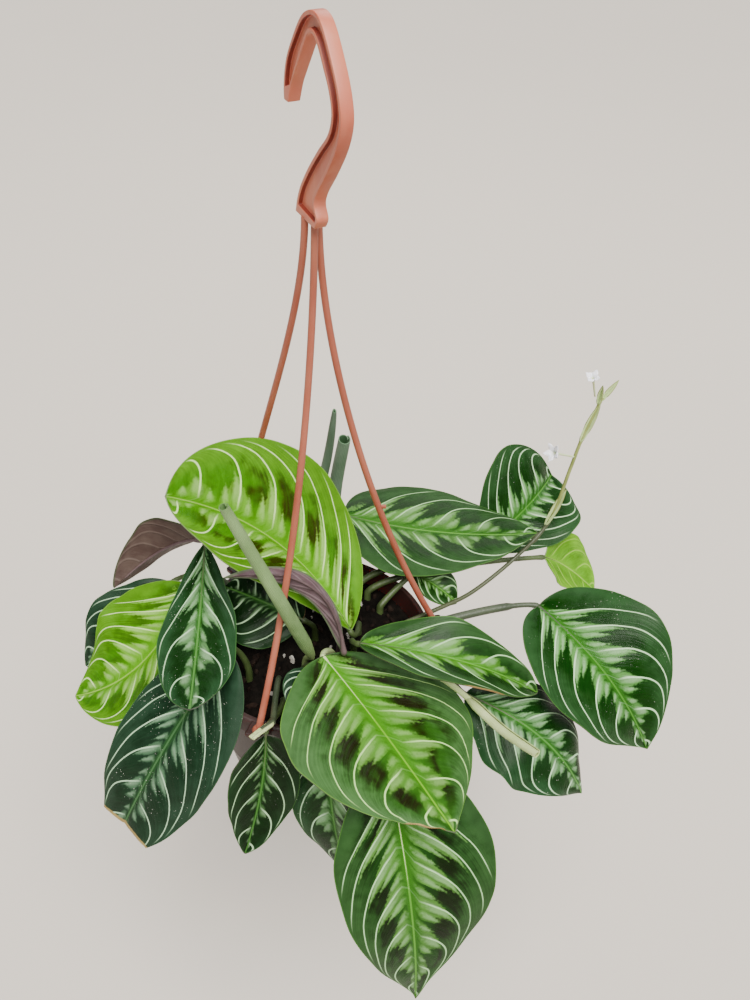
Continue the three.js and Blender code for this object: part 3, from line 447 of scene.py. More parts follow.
def apply_modifier(piece, kind, **settings):
    select_only(piece)
    modifier = piece.modifiers.new(kind.title(), kind)
    for setting, value in settings.items():
        setattr(modifier, setting, value)
    bpy.ops.object.modifier_apply(modifier=modifier.name)


def smooth_shade(piece, degrees=40):
    select_only(piece)
    bpy.ops.object.shade_smooth_by_angle(angle=math.radians(degrees))


def join_pieces(main, others):
    select_only(main)
    for other in others:
        other.select_set(True)
    bpy.ops.object.join()
    return main


def paint(piece, *finishes):
    """Gives a piece these materials and no others."""
    piece.data.materials.clear()
    for finish in finishes:
        piece.data.materials.append(finish)


def bake_place(piece):
    select_only(piece)
    bpy.ops.object.transform_apply(location=True, rotation=True, scale=True)


def shaped_sheet(name, columns, rows, place, marks=()):
    """A grid primitive whose points go where place(across, along) says: across runs from -1 to
    1, along from 0 to 1. place also returns one value for each of the marks, kept on the points."""
    deselect()
    bpy.ops.mesh.primitive_grid_add(x_subdivisions=columns, y_subdivisions=rows, size=2)
    piece = name_piece(name)
    for mark in marks:
        piece.data.attributes.new(mark, "FLOAT", "POINT")
    kept = {mark: [] for mark in marks}
    for vertex in piece.data.vertices:
        point, values = place(vertex.co.x, (vertex.co.y + 1) / 2)
        for mark, value in zip(marks, values):
            kept[mark].append(value)
        vertex.co = metres(point)
    for mark in marks:
        piece.data.attributes[mark].data.foreach_set("value", kept[mark])
    return piece


def thicken(sheet, thickness, finishes):
    """Turns a sheet into a thin solid: finishes are those of its first and its second face."""
    weld(sheet)
    paint(sheet, *finishes)
    apply_modifier(
        sheet, "SOLIDIFY", thickness=thickness, offset=0, use_rim=True, use_quality_normals=True,
        material_offset=1, material_offset_rim=1,
    )
    smooth_shade(sheet, degrees=50)


def tube(name, points, radius_at, sides=12, oval=1.0):
    """A closed rod through the points; radius_at(along) is its radius, oval flattens it."""
    frames = frames_along([Vector(point) for point in points])
    last = len(frames) - 1

    def place(across, along):
        centre, out, up = frames[round(along * last)]
        angle = math.pi * across
        radius = radius_at(along)
        sideways = out * (radius * math.cos(angle))
        return centre + sideways + up * (radius * oval * math.sin(angle)), ()

    rod = shaped_sheet(name, sides, last, place)
    weld(rod, close=True)
    smooth_shade(rod)
    return rod


def upright_cone(name, lower_radius, upper_radius, bottom, top, centre, sides=32):
    """A cone or drum that stands on the Z axis through centre, as by the cone primitive."""
    deselect()
    middle = Vector((centre.x, centre.y, (bottom + top) / 2))
    bpy.ops.mesh.primitive_cone_add(
        vertices=sides, radius1=lower_radius * MM, radius2=upper_radius * MM,
        depth=(top - bottom) * MM, location=metres(middle),
    )
    piece = name_piece(name)
    bake_place(piece)
    return piece


def block(name, middle, size, turn=0):
    """A cuboid of that size, turned by that many degrees about the Z axis."""
    deselect()
    bpy.ops.mesh.primitive_cube_add(
        size=1, location=metres(middle), rotation=(0, 0, math.radians(turn)),
        scale=Vector(size) * MM,
    )
    piece = name_piece(name)
    bake_place(piece)
    return piece


def cut(piece, cutter):
    apply_modifier(piece, "BOOLEAN", operation="DIFFERENCE", solver="EXACT", object=cutter)
    bpy.data.objects.remove(cutter)


def unite(piece, other):
    apply_modifier(piece, "BOOLEAN", operation="UNION", solver="EXACT", object=other)
    bpy.data.objects.remove(other)


def finished(piece, node):
    """Every piece rides on the one body and stands for the CAD node of its name."""
    piece.name = piece.data.name = node + "_dressed"
    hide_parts(node)
    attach(piece, "root")


# ------------------------------------------------------------------ finishes
class Finish:
    """A procedural material, built by adding one node after another."""

    def __init__(self, name, **sockets):
        self.material = bpy.data.materials.new(name)
        self.material.use_nodes = True
        self.tree = self.material.node_tree
        self.shader = self.tree.nodes["Principled BSDF"]
        for socket, value in sockets.items():
            self.shader.inputs[socket.replace("_", " ")].default_value = value

    def add(self, kind, **settings):
        node = self.tree.nodes.new(kind)
        for setting, value in settings.items():
            setattr(node, setting, value)
        return node

    def feed(self, value, socket):
        if isinstance(value, bpy.types.NodeSocket):
            self.tree.links.new(value, socket)
        else:
            socket.default_value = value

    def math(self, operation, *values):
        node = self.add("ShaderNodeMath", operation=operation)
        for value, socket in zip(values, node.inputs):
            self.feed(value, socket)
        return node.outputs[0]

    def times(self, first, second):
        return self.math("MULTIPLY", first, second)

    def scaled(self, value, factor, more):
        return self.math("MULTIPLY_ADD", value, factor, more)

    def step(self, value, start, end, low=0.0, high=1.0):
        """low before start, high after end, with an even S between them."""
        node = self.add("ShaderNodeMapRange", interpolation_type="SMOOTHSTEP")
        self.feed(value, node.inputs["Value"])
        self.feed(start, node.inputs["From Min"])
        self.feed(end, node.inputs["From Max"])
        self.feed(low, node.inputs["To Min"])
        self.feed(high, node.inputs["To Max"])
        return node.outputs[0]

    def mix(self, amount, first, second, blend_type="MIX"):
        node = self.add("ShaderNodeMix", data_type="RGBA", blend_type=blend_type)
        self.feed(amount, node.inputs[0])
        for colour, socket in ((first, node.inputs[6]), (second, node.inputs[7])):
            self.feed(colour if isinstance(colour, bpy.types.NodeSocket) else (*colour, 1), socket)
        return node.outputs[2]

    def tint(self, colour, amount, share, towards):
        """The colour, mixed by amount times share with the one that it goes towards."""
        return self.mix(self.times(amount, share), colour, towards)

    def mark(self, name):
        return self.add("ShaderNodeAttribute", attribute_name=name).outputs["Fac"]

    def place(self):
        return self.add("ShaderNodeTexCoord").outputs["Object"]

    def noise(self, scale, detail=3.0, stretch=None):
        coordinates = self.place()
        if stretch:
            mapping = self.add("ShaderNodeMapping")
            mapping.inputs["Scale"].default_value = stretch
            self.feed(coordinates, mapping.inputs["Vector"])
            coordinates = mapping.outputs[0]
        node = self.add("ShaderNodeTexNoise")
        self.feed(coordinates, node.inputs["Vector"])
        node.inputs["Scale"].default_value = scale
        node.inputs["Detail"].default_value = detail
        return node.outputs[0]

    def colour(self, value):
        self.feed(value, self.shader.inputs["Base Color"])

    def roughness(self, value):
        self.feed(value, self.shader.inputs["Roughness"])

    def relief(self, height, depth):
        node = self.add("ShaderNodeBump")
        node.inputs["Distance"].default_value = depth
        node.inputs["Strength"].default_value = 1
        self.feed(height, node.inputs["Height"])
        self.feed(node.outputs[0], self.shader.inputs["Normal"])


MAUVE_UNDERSIDE = dict(
    under=(0.05, 0.03, 0.035), under_glow=(0.09, 0.065, 0.07), under_line=(0.14, 0.11, 0.11),
)
PALE_UNDERSIDE = dict(
    under=(0.15, 0.14, 0.12), under_glow=(0.18, 0.21, 0.11), under_line=(0.23, 0.22, 0.19),
)
# What a blade is coloured with. body: between the veins; patch: the dark places by the midrib;
# outer: towards the margin, a paler grey-green that is partly the leaf's own and partly painted
# sheen; glow: by the midrib, out to glow_end; tooth: the feather's teeth, which are feather wide,
# reach as far as reach says and show as clearly as show says; vein: the side veins and the streaks
# in the teeth; rib: the midrib and the thin line along the margin; crumbs: how clearly dust shows.
# under, under_glow and under_line colour the lower side.
BLADE_LOOKS = {
    "fresh": dict(
        body=(0.015, 0.062, 0.005), patch=(0.0075, 0.0085, 0.0015), outer=(0.04, 0.1, 0.028),
        glow=(0.044, 0.19, 0.0042), glow_end=0.36, tooth=(0.1, 0.27, 0.03), vein=(0.37, 0.6, 0.2),
        rib=(0.156, 0.36, 0.018), under=(0.05, 0.024, 0.03), under_glow=(0.1, 0.065, 0.075),
        under_line=(0.17, 0.125, 0.13), feather=0.26, reach=1.15, show=0.6, crumbs=0.0, rough=0.3,
    ),
    "green": dict(
        body=(0.0055, 0.03, 0.003), patch=(0.0034, 0.008, 0.0012), outer=(0.0175, 0.052, 0.0125),
        glow=(0.022, 0.1, 0.005), glow_end=0.24, tooth=(0.07, 0.185, 0.03), vein=(0.31, 0.5, 0.25),
        rib=(0.09, 0.252, 0.03), under=(0.035, 0.018, 0.015), under_glow=(0.06, 0.04, 0.032),
        under_line=(0.12, 0.09, 0.075), feather=0.25, reach=1.15, show=0.75, crumbs=0.0, rough=0.28,
    ),
    "deep": dict(
        body=(0.0026, 0.024, 0.001), patch=(0.0017, 0.0189, 0.0006), outer=(0.013, 0.046, 0.0115),
        glow=(0.022, 0.11, 0.007), glow_end=0.2, tooth=(0.095, 0.26, 0.06), vein=(0.4, 0.59, 0.35),
        rib=(0.072, 0.216, 0.03), under=(0.05, 0.027, 0.027), under_glow=(0.08, 0.056, 0.052),
        under_line=(0.13, 0.1, 0.09), feather=0.22, reach=1.0, show=0.75, crumbs=0.5, rough=0.26,
    ),
    "moss": dict(
        MAUVE_UNDERSIDE, body=(0.003, 0.021, 0.0024), patch=(0.0022, 0.016, 0.0012),
        outer=(0.0125, 0.043, 0.0145), glow=(0.02, 0.095, 0.008), glow_end=0.14,
        tooth=(0.1, 0.23, 0.08), vein=(0.34, 0.52, 0.31), rib=(0.072, 0.204, 0.042),
        feather=0.22, reach=1.1, show=0.75, crumbs=0.6, rough=0.28,
    ),
    "forest": dict(
        MAUVE_UNDERSIDE, body=(0.0022, 0.0125, 0.0018), patch=(0.0016, 0.008, 0.001),
        outer=(0.006, 0.021, 0.006), glow=(0.014, 0.07, 0.006), glow_end=0.12,
        tooth=(0.05, 0.125, 0.036), vein=(0.3, 0.45, 0.26), rib=(0.05, 0.15, 0.025),
        feather=0.14, reach=0.85, show=0.6, crumbs=0.4, rough=0.28,
    ),
    "slate": dict(
        MAUVE_UNDERSIDE, body=(0.0055, 0.019, 0.0085), patch=(0.0026, 0.0145, 0.0035),
        outer=(0.011, 0.031, 0.0155), glow=(0.012, 0.05, 0.0105), glow_end=0.1,
        tooth=(0.085, 0.18, 0.095), vein=(0.32, 0.48, 0.31), rib=(0.05, 0.12, 0.045),
        feather=0.16, reach=1.0, show=0.65, crumbs=0.9, rough=0.32,
    ),
    "lime": dict(
        PALE_UNDERSIDE, body=(0.032, 0.14, 0.001), patch=(0.018, 0.022, 0.001),
        outer=(0.06, 0.18, 0.0035), glow=(0.08, 0.26, 0.0025), glow_end=0.3,
        tooth=(0.15, 0.35, 0.025), vein=(0.48, 0.68, 0.25), rib=(0.24, 0.408, 0.06),
        feather=0.24, reach=1.25, show=0.7, crumbs=0.0, rough=0.28,
    ),
    "bright": dict(
        PALE_UNDERSIDE, body=(0.075, 0.22, 0.006), patch=(0.05, 0.12, 0.005),
        outer=(0.1, 0.25, 0.01), glow=(0.12, 0.3, 0.012), glow_end=0.25,
        tooth=(0.17, 0.33, 0.03), vein=(0.2, 0.36, 0.04), rib=(0.26, 0.4, 0.07),
        feather=0.05, reach=0.4, show=0.4, crumbs=0.0, rough=0.3,
    ),
}
BLADE_LOOKS["vivid"] = dict(
    BLADE_LOOKS["green"], glow=(0.044, 0.19, 0.0042), glow_end=0.34, tooth=(0.07, 0.22, 0.016),
)
# The two colours that a stalk's finish mixes.
STALK_LOOKS = {
    "stalk_green": ((0.025, 0.04, 0.01), (0.055, 0.085, 0.025)),
    "stalk_dark": ((0.02, 0.03, 0.015), (0.045, 0.06, 0.03)),
    "stalk_pale": ((0.32, 0.42, 0.16), (0.45, 0.55, 0.26)),
    "stalk_olive": ((0.14, 0.17, 0.04), (0.27, 0.3, 0.09)),
    "stalk_mauve": ((0.05, 0.028, 0.03), (0.11, 0.07, 0.075)),
}
# low, high: a rolled leaf's outside. line: its fine lines; foot: its lower end.
ROLL_LOOKS = {
    "rolled_green": dict(low=(0.14, 0.23, 0.08), high=(0.2, 0.31, 0.12), line=(0.09, 0.14, 0.07),
                         foot=(0.26, 0.33, 0.12), inside=(0.03, 0.09, 0.02)),
    "rolled_grey": dict(low=(0.1, 0.17, 0.1), high=(0.15, 0.23, 0.15), line=(0.06, 0.11, 0.06),
                        foot=(0.12, 0.18, 0.09), inside=(0.02, 0.09, 0.02)),
    "rolled_deep": dict(low=(0.03, 0.12, 0.02), high=(0.06, 0.2, 0.04), line=(0.3, 0.5, 0.2),
                        foot=(0.08, 0.2, 0.05), inside=(0.02, 0.09, 0.02)),
    # Partly the young rolls' own pale lime, partly a painted highlight for the light on them and
    # through them.
    "rolled_pale_lit": dict(low=(0.6, 0.73, 0.3), high=(0.74, 0.85, 0.42), line=(0.22, 0.31, 0.12),
                        foot=(0.55, 0.68, 0.28), inside=(0.08, 0.12, 0.03)),
}
# The feather's teeth in a gap between two side veins: where, how far out and how wide (shares).
FEATHER_TEETH = ((0.0, 0.54, 1.2), (0.31, 0.36, 0.75), (-0.3, 0.28, 0.65))
MARKS = ("across", "aside", "inset", "along", "vein_phase", "vein_gap", "worn")


def leaf_pattern(finish):
    """The measures that both faces of a blade are coloured by."""
    wander = finish.scaled(finish.noise(70), 0.12, -0.06)
    phase = finish.math("ADD", finish.mark("vein_phase"), wander)
    turn = finish.math("SUBTRACT", finish.math("FRACT", finish.math("ADD", phase, 0.5)), 0.5)
    from_vein = finish.math("ABSOLUTE", turn)
    return dict(
        phase=phase,
        turn=turn,
        from_vein=from_vein,
        out=finish.math("ABSOLUTE", finish.mark("across")),
        side=finish.math("SIGN", finish.mark("across")),
        vein_mm=finish.times(from_vein, finish.mark("vein_gap")),
        midrib_mm=finish.math("ABSOLUTE", finish.mark("aside")),
        inset=finish.mark("inset"),
        along=finish.mark("along"),
        worn=finish.mark("worn"),
    )


def streaks(finish, pattern, count, seed):
    """Uneven streaks that run along the side veins, from 0 to 1."""
    spot = finish.add("ShaderNodeCombineXYZ")
    finish.feed(finish.times(pattern["phase"], count), spot.inputs[0])
    finish.feed(finish.times(pattern["out"], 3.0), spot.inputs[1])
    finish.feed(finish.scaled(pattern["side"], 5.0, seed), spot.inputs[2])
    node = finish.add("ShaderNodeTexNoise")
    finish.feed(spot.outputs[0], node.inputs["Vector"])
    node.inputs["Scale"].default_value = 1
    node.inputs["Detail"].default_value = 2
    return node.outputs[0]


def feather_tooth(finish, pattern, out, centre, length, half):
    """One pale pointed tooth in every gap between side veins, and the whiter streak in it."""
    swell = finish.times(finish.step(out, 0.0, length * 0.4, 0.5, 1.0),
                         finish.step(out, length, length * 0.3))
    room = finish.times(swell, half)
    lean = finish.scaled(pattern["out"], -0.25, pattern["turn"])
    off = finish.math("ABSOLUTE", finish.math("SUBTRACT", lean, centre))
    tooth = finish.step(finish.math("SUBTRACT", room, off), -0.04, 0.06)
    core = finish.step(finish.math("SUBTRACT", finish.times(room, 0.45), off), -0.05, 0.05)
    tooth = finish.times(tooth, finish.step(out, length, length * 0.85))
    start = finish.step(out, length * 0.1, length * 0.5)
    end = finish.step(out, length * 0.95, length * 0.6)
    return tooth, finish.times(core, finish.times(start, end))


def feather(finish, pattern, ragged, look):
    """The feather along the midrib: its teeth and the whiter streaks in them."""
    teeth = cores = 0.0
    shorter = finish.step(pattern["along"], 0.0, 1.0, 0.68, 1.2)
    out = finish.scaled(ragged, 0.18, finish.times(pattern["out"], shorter))
    for centre, length, half in FEATHER_TEETH:
        tooth, core = feather_tooth(
            finish, pattern, out, centre, length * look["reach"], half * look["feather"]
        )
        teeth = finish.math("MAXIMUM", teeth, tooth)
        cores = finish.math("MAXIMUM", cores, core)
    return finish.math("MAXIMUM", teeth, finish.step(pattern["out"], 0.075, 0.03)), cores


def blade_upper(name, look, patch_strength, seed):
    finish = Finish(name, Specular_IOR_Level=0.09)
    pattern = leaf_pattern(finish)
    out = pattern["out"]
    soft = finish.math("SUBTRACT", finish.noise(160, 4), 0.5)
    ragged = finish.math("SUBTRACT", finish.noise(650, 2), 0.5)
    lines = streaks(finish, pattern, 11, seed)
    cloud = streaks(finish, pattern, 0.8, seed + 40)

    # Paler towards the margin: partly the leaf's own colour, partly painted sheen.
    outer = finish.step(finish.scaled(soft, 0.4, out), 0.4, 0.9)
    colour = finish.mix(outer, look["body"], look["outer"])

    # Dark places between the side veins, ragged towards the margin.
    patch = finish.step(finish.scaled(lines, -0.16, out), 0.12, 0.26)
    patch_end = finish.scaled(lines, 0.35, finish.scaled(soft, 0.4, out))
    patch = finish.times(patch, finish.step(patch_end, 0.92, 0.66))
    patch = finish.times(patch, finish.step(pattern["from_vein"], 0.06, 0.24))
    patch = finish.times(patch, finish.step(pattern["along"], 0.96, 0.8))
    patch = finish.times(patch, finish.step(cloud, 0.36, 0.52))
    patch = finish.times(patch, finish.step(lines, 0.2, 0.55, 0.55, 1.0))
    colour = finish.tint(colour, patch, patch_strength, look["patch"])

    # Lighter and darker lines that run along the side veins.
    mottle = finish.scaled(soft, 0.8, lines)
    shade = finish.mix(mottle, (0.5, 0.55, 0.45), (1.4, 1.35, 1.4))
    colour = finish.mix(1.0, colour, shade, "MULTIPLY")

    # The bright middle, and the feather on it.
    glow = finish.times(finish.step(pattern["along"], 0.9, 0.0, 0.25, 1.0),
                        finish.step(out, look["glow_end"], 0.02))
    colour = finish.tint(colour, glow, 0.85, look["glow"])
    teeth, cores = feather(finish, pattern, ragged, look)
    fading = finish.step(pattern["along"], 0.4, 0.95, look["show"], look["show"] * 0.5)
    fading = finish.times(fading, finish.step(lines, 0.25, 0.6, 0.55, 1.0))
    flame = finish.mix(finish.step(out, 0.02, 0.16), look["glow"], look["tooth"])
    colour = finish.tint(colour, teeth, fading, flame)
    colour = finish.tint(colour, cores, look["show"] * 0.35, look["vein"])

    # Side veins, the midrib and the margin's thin line.
    width = finish.step(out, 0.1, 0.95, VEIN_HALF_WIDTH * 1.15, VEIN_HALF_WIDTH * 0.65)
    vein = finish.step(finish.math("SUBTRACT", width, pattern["vein_mm"]), -0.18, 0.14)
    vein = finish.times(vein, finish.step(out, 0.97, 0.86))
    vein = finish.times(vein, finish.step(out, 0.06, 0.3, 0.1, 1.0))
    colour = finish.tint(colour, vein, 0.95, look["vein"])
    rib = finish.step(pattern["midrib_mm"], 0.65, 0.25)
    colour = finish.tint(colour, rib, 0.7, look["rib"])
    margin = finish.step(pattern["inset"], 0.55, 0.1)
    colour = finish.tint(colour, margin, 0.35, look["rib"])

    # Dust, and the brown dry places.
    if look["crumbs"]:
        crumb = finish.times(finish.step(finish.noise(1500, 1), 0.72, 0.76),
                             finish.step(finish.noise(60, 2), 0.5, 0.6))
        colour = finish.tint(colour, crumb, look["crumbs"], PERLITE_WHITE)
    worn = finish.step(finish.scaled(ragged, 0.5, pattern["worn"]), 0.3, 0.6)
    colour = finish.mix(worn, colour, finish.mix(finish.noise(400), BROWN, STRAW))
    finish.colour(colour)

    gloss = finish.scaled(soft, 0.25, look["rough"])
    finish.roughness(finish.scaled(outer, 0.1, gloss))
    grain = finish.scaled(finish.noise(2600, 2), 0.35, finish.times(lines, 0.8))
    finish.relief(finish.scaled(vein, -0.5, grain), BLADE_RELIEF)
    return finish.material


def blade_under(name, look):
    finish = Finish(name, Specular_IOR_Level=0.14)
    pattern = leaf_pattern(finish)
    soft = finish.noise(110, 4)
    lines = streaks(finish, pattern, 12, 3.0)
    colour = finish.mix(finish.step(soft, 0.35, 0.7), look["under"], look["under_glow"])
    colour = finish.tint(colour, lines, 0.3, look["under_line"])
    vein = finish.step(pattern["vein_mm"], 0.8, 0.2)
    colour = finish.tint(colour, vein, 0.4, look["under_line"])
    # The lower side's margin takes the outer colour, which is partly painted sheen.
    margin = finish.step(pattern["inset"], 1.6, 0.2)
    colour = finish.tint(colour, margin, 0.55, look["outer"])
    worn = finish.step(pattern["worn"], 0.3, 0.6)
    finish.colour(finish.mix(worn, colour, BROWN))
    finish.roughness(finish.scaled(soft, 0.2, 0.45))
    finish.relief(finish.scaled(vein, 0.8, finish.times(lines, 0.6)), BLADE_RELIEF)
    return finish.material


def stalk_finish(name, low, high, dark_below=None):
    """Satin stalks with fine lengthwise streaks; low and high are the colours that they mix. Below
    the height dark_below, in metres, the stalk is dark."""
    finish = Finish(name, Specular_IOR_Level=0.4)
    soft = finish.noise(60, 4)
    lines = finish.noise(900, 2, stretch=(1, 1, 0.12))
    colour = finish.mix(finish.step(soft, 0.35, 0.65), low, high)
    colour = finish.tint(colour, lines, 0.5, low)
    if dark_below:
        split = finish.add("ShaderNodeSeparateXYZ")
        finish.feed(finish.place(), split.inputs[0])
        dark = finish.step(split.outputs["Z"], dark_below + STALK_FADE, dark_below)
        colour = finish.tint(colour, dark, 0.9, STALK_DARK)
    finish.colour(colour)
    finish.roughness(finish.scaled(soft, 0.25, 0.35))
    finish.relief(lines, BLADE_RELIEF)
    return finish.material


def roll_outside(name, look):
    """The back of a rolled leaf: a bloom over fine lines that run along the roll."""
    finish = Finish(name, Specular_IOR_Level=0.35)
    line_count = 30
    angle = finish.times(finish.mark("round"), 2 * math.pi * line_count)
    lines = finish.scaled(finish.math("SINE", angle), 0.5, 0.5)
    soft = finish.noise(90, 4)
    colour = finish.mix(finish.step(soft, 0.3, 0.7), look["low"], look["high"])
    colour = finish.tint(colour, lines, 0.22, look["line"])
    foot = finish.step(finish.mark("along"), 0.3, 0.0)
    colour = finish.tint(colour, foot, 0.5, look["foot"])
    edge = finish.step(finish.mark("round"), 0.965, 0.995)
    colour = finish.tint(colour, edge, 0.7, look["line"])
    finish.colour(colour)
    finish.roughness(finish.scaled(soft, 0.2, 0.42))
    finish.relief(lines, BLADE_RELIEF)
    return finish.material


def roll_inside(name, look):
    finish = Finish(name, Specular_IOR_Level=0.4)
    soft = finish.noise(200, 4)
    finish.colour(finish.mix(soft, look["inside"], look["low"]))
    finish.roughness(finish.scaled(soft, 0.2, 0.4))
    finish.relief(soft, BLADE_RELIEF)
    return finish.material


def plastic_finish(name, base, drift, pale, rough):
    """Moulded plastic: its colour drifts, with faint flow lines and dull scuffs in a paler one."""
    finish = Finish(name, Specular_IOR_Level=0.5, Subsurface_Weight=0.06)
    cloud = finish.noise(28, 4)
    flow = finish.noise(260, 3, stretch=(1, 1, 0.1))
    scuff = finish.step(finish.noise(1300, 3), 0.6, 0.75)
    colour = finish.mix(finish.step(cloud, 0.3, 0.7), base, drift)
    colour = finish.tint(colour, finish.step(flow, 0.45, 0.8), 0.35, pale)
    finish.colour(finish.tint(colour, scuff, 0.25, pale))
    finish.roughness(finish.scaled(scuff, 0.15, finish.scaled(cloud, 0.2, rough)))
    grain = finish.scaled(finish.noise(1400, 2), 0.25, flow)
    finish.relief(grain, PLASTIC_RELIEF)
    return finish.material


def crumb_finish(name, dark, light, rough, scale):
    """Rough mineral or earthy stuff: two colours that follow a coarse and a fine grain."""
    finish = Finish(name, Specular_IOR_Level=0.08)
    coarse = finish.noise(scale, 6)
    fine = finish.noise(scale * 5, 3)
    colour = finish.mix(finish.step(coarse, 0.35, 0.7), dark, light)
    finish.colour(finish.tint(colour, fine, 0.5, dark))
    finish.roughness(finish.scaled(fine, 0.15, rough))
    finish.relief(finish.math("ADD", coarse, fine), CRUMB_RELIEF)
    return finish.material


def petal_finish(name, petal, throat):
    finish = Finish(name, Specular_IOR_Level=0.3, Subsurface_Weight=0.2)
    along = finish.mark("along")
    soft = finish.noise(900, 2)
    inner = finish.step(along, 0.5, 0.0)
    finish.colour(finish.mix(inner, finish.mix(soft, petal, (1, 1, 1)), throat))
    finish.roughness(finish.scaled(soft, 0.2, 0.45))
    finish.relief(soft, BLADE_RELIEF)
    return finish.material


def stage_finish(name, colour):
    finish = Finish(name, Roughness=0.85)
    soft = finish.noise(3, 3)
    finish.colour(finish.mix(soft, colour, [value * 1.03 for value in colour]))
    return finish.material


# ------------------------------------------------------------------ one open leaf
def blade_frame(leaf):
    """Where a blade starts, how long it is, and its own three directions."""
    base = Vector(leaf["base"])
    chord = Vector(leaf["tip"]) - base
    along = chord.normalized()
    face = Vector(leaf["face"])
    face = (face - along * face.dot(along)).normalized()
    return dict(base=base, length=chord.length, along=along, face=face, side=along.cross(face))


def midrib_point(leaf, lay, way):
    """A point of the midrib, which bows away from the line between the blade's two ends."""
    bow = 4 * way * (1 - way)
    arch = lay["face"] * leaf["arch"] * bow
    bend = lay["side"] * leaf["bend"] * bow
    return lay["base"] + lay["along"] * lay["length"] * way + arch + bend


def midrib_way(leaf, lay, way):
    """The direction of the midrib at that point."""
    slope = 4 * (1 - 2 * way)
    arch = lay["face"] * leaf["arch"] * slope
    bend = lay["side"] * leaf["bend"] * slope
    return (lay["along"] * lay["length"] + arch + bend).normalized()


def half_width(leaf, way):
    fullness = blend(BASE_FULLNESS, leaf["point"], way)
    return leaf["width"] / 2 * max(math.sin(math.pi * way ** leaf["widest"]), 0) ** fullness


def vein_way(start, out):
    """How far along the blade the side vein lies at out, if it starts on the midrib at start."""
    later = smooth(start, *LEAN_CHANGE)
    lean = blend(FIRST_LEAN, LATER_LEAN, later)
    sweep = blend(FIRST_SWEEP, LATER_SWEEP, later)
    return start + (1 - start) * (lean * out + sweep * out**4)


@functools.lru_cache(maxsize=None)
def vein_start(way, out):
    """Where the side vein that passes through way, out starts on the midrib."""
    low, high = VEIN_SEARCH
    for halving in range(VEIN_HALVINGS):
        middle = (low + high) / 2
        if vein_way(middle, out) < way:
            low = middle
        else:
            high = middle
    return (low + high) / 2


def vein_count(way, out):
    """The share of the side veins passed on the way to the tip; they crowd near the base."""
    start = vein_start(way, out)
    return (1 - VEIN_CROWD) * start + VEIN_CROWD * (1 - math.exp(-VEIN_CROWD_FALL * start))


def vein_measures(leaf, lay, way, across, reach):
    """The count of side veins passed on the way to the tip, and the gap between two of them."""
    out = abs(across)
    shift = (VEIN_SHIFT if across > 0 else -VEIN_SHIFT) * min(out / 0.1, 1)
    phase = leaf["veins"] * vein_count(way, out) - 0.5 + shift
    if phase < -0.5:
        return -0.5, VEINLESS_GAP
    step = 0.01
    ahead = min(way + step, 1)
    outward = min(out + step, 1)
    climb = (vein_count(ahead, out) - vein_count(ahead - step, out)) / step / lay["length"]
    spread = (vein_count(way, outward) - vein_count(way, outward - step)) / step / max(reach, 2)
    return phase, 1 / (leaf["veins"] * math.hypot(climb, spread))


def worn_share(leaf, across, way):
    """How brown the blade is there, from 0 to 1."""
    share = 0
    for spot_across, spot_along, wide, far in leaf["worn"]:
        off = math.hypot((across - spot_across) / wide, (way - spot_along) / far)
        share = max(share, 1 - smooth(off, 0.4, 1.3))
    return share


def bite(leaf, sign, way):
    """How much of the half width the notches in that margin leave."""
    left = 1
    for side, spot, depth, far in leaf["bites"]:
        if side == sign:
            left -= depth * math.exp(-(((way - spot) / far) ** 2))
    return left


def blade_place(leaf, lay, across, along):
    """Where a point of the blade's middle surface lies, and its marks."""
    way = (0.5 - 0.5 * math.cos(math.pi * along)) * leaf["end"]
    ahead = midrib_way(leaf, lay, way)
    up = (lay["face"] - ahead * lay["face"].dot(ahead)).normalized()
    side = ahead.cross(up)
    sign = math.copysign(1, across)
    out = abs(across)
    wobble = WOBBLE * noise.noise(Vector((way * 6, sign * 7, leaf["width"])))
    half = half_width(leaf, way) * (1 + leaf["skew"] * sign + wobble) * bite(leaf, sign, way)
    reach = half * out
    angle = math.radians(leaf["fold"] - leaf["curl"] * out)
    phase, gap = vein_measures(leaf, lay, way, across, half)
    ripple_start = RIPPLE_STARTS[0] if across > 0 else RIPPLE_STARTS[1]
    ripple = math.sin(way * 2 * math.pi * leaf["waves"] + ripple_start)
    lift = reach * math.sin(angle) + leaf["wave"] * ripple * out * out
    share = smooth(out, 0.0, 0.2) * smooth(out, 1.0, 0.8)
    share = share * smooth(way, 0, 0.06) * smooth(way, 1, 0.9)
    between_veins = 0.5 - 0.5 * math.cos(2 * math.pi * phase)
    lift += min(gap * QUILT_SHARE, QUILT_LIMIT) * between_veins * share
    lift -= RIB_GROOVE * (1 - smooth(reach, 0.3, 1.8)) * smooth(way, 1, 0.85)
    frill = noise.noise(Vector((way * 9, sign * 3, leaf["width"])))
    lift += FRILL * frill * smooth(out, 0.7, 1.0) * min(half / 10, 1)
    point = midrib_point(leaf, lay, way) + side * (sign * reach * math.cos(angle)) + up * lift
    marks = (across, sign * reach, half - reach, way, phase, gap, worn_share(leaf, across, way))
    return point, marks


def build_blade(leaf, thickness, finishes, columns=40, rows=72):
    """The blade's middle surface, thickened: finishes are those of its upper and lower face."""
    place = functools.partial(blade_place, leaf, blade_frame(leaf))
    blade = shaped_sheet(leaf["name"], columns, rows, place, MARKS)
    thicken(blade, thickness, finishes)
    return blade


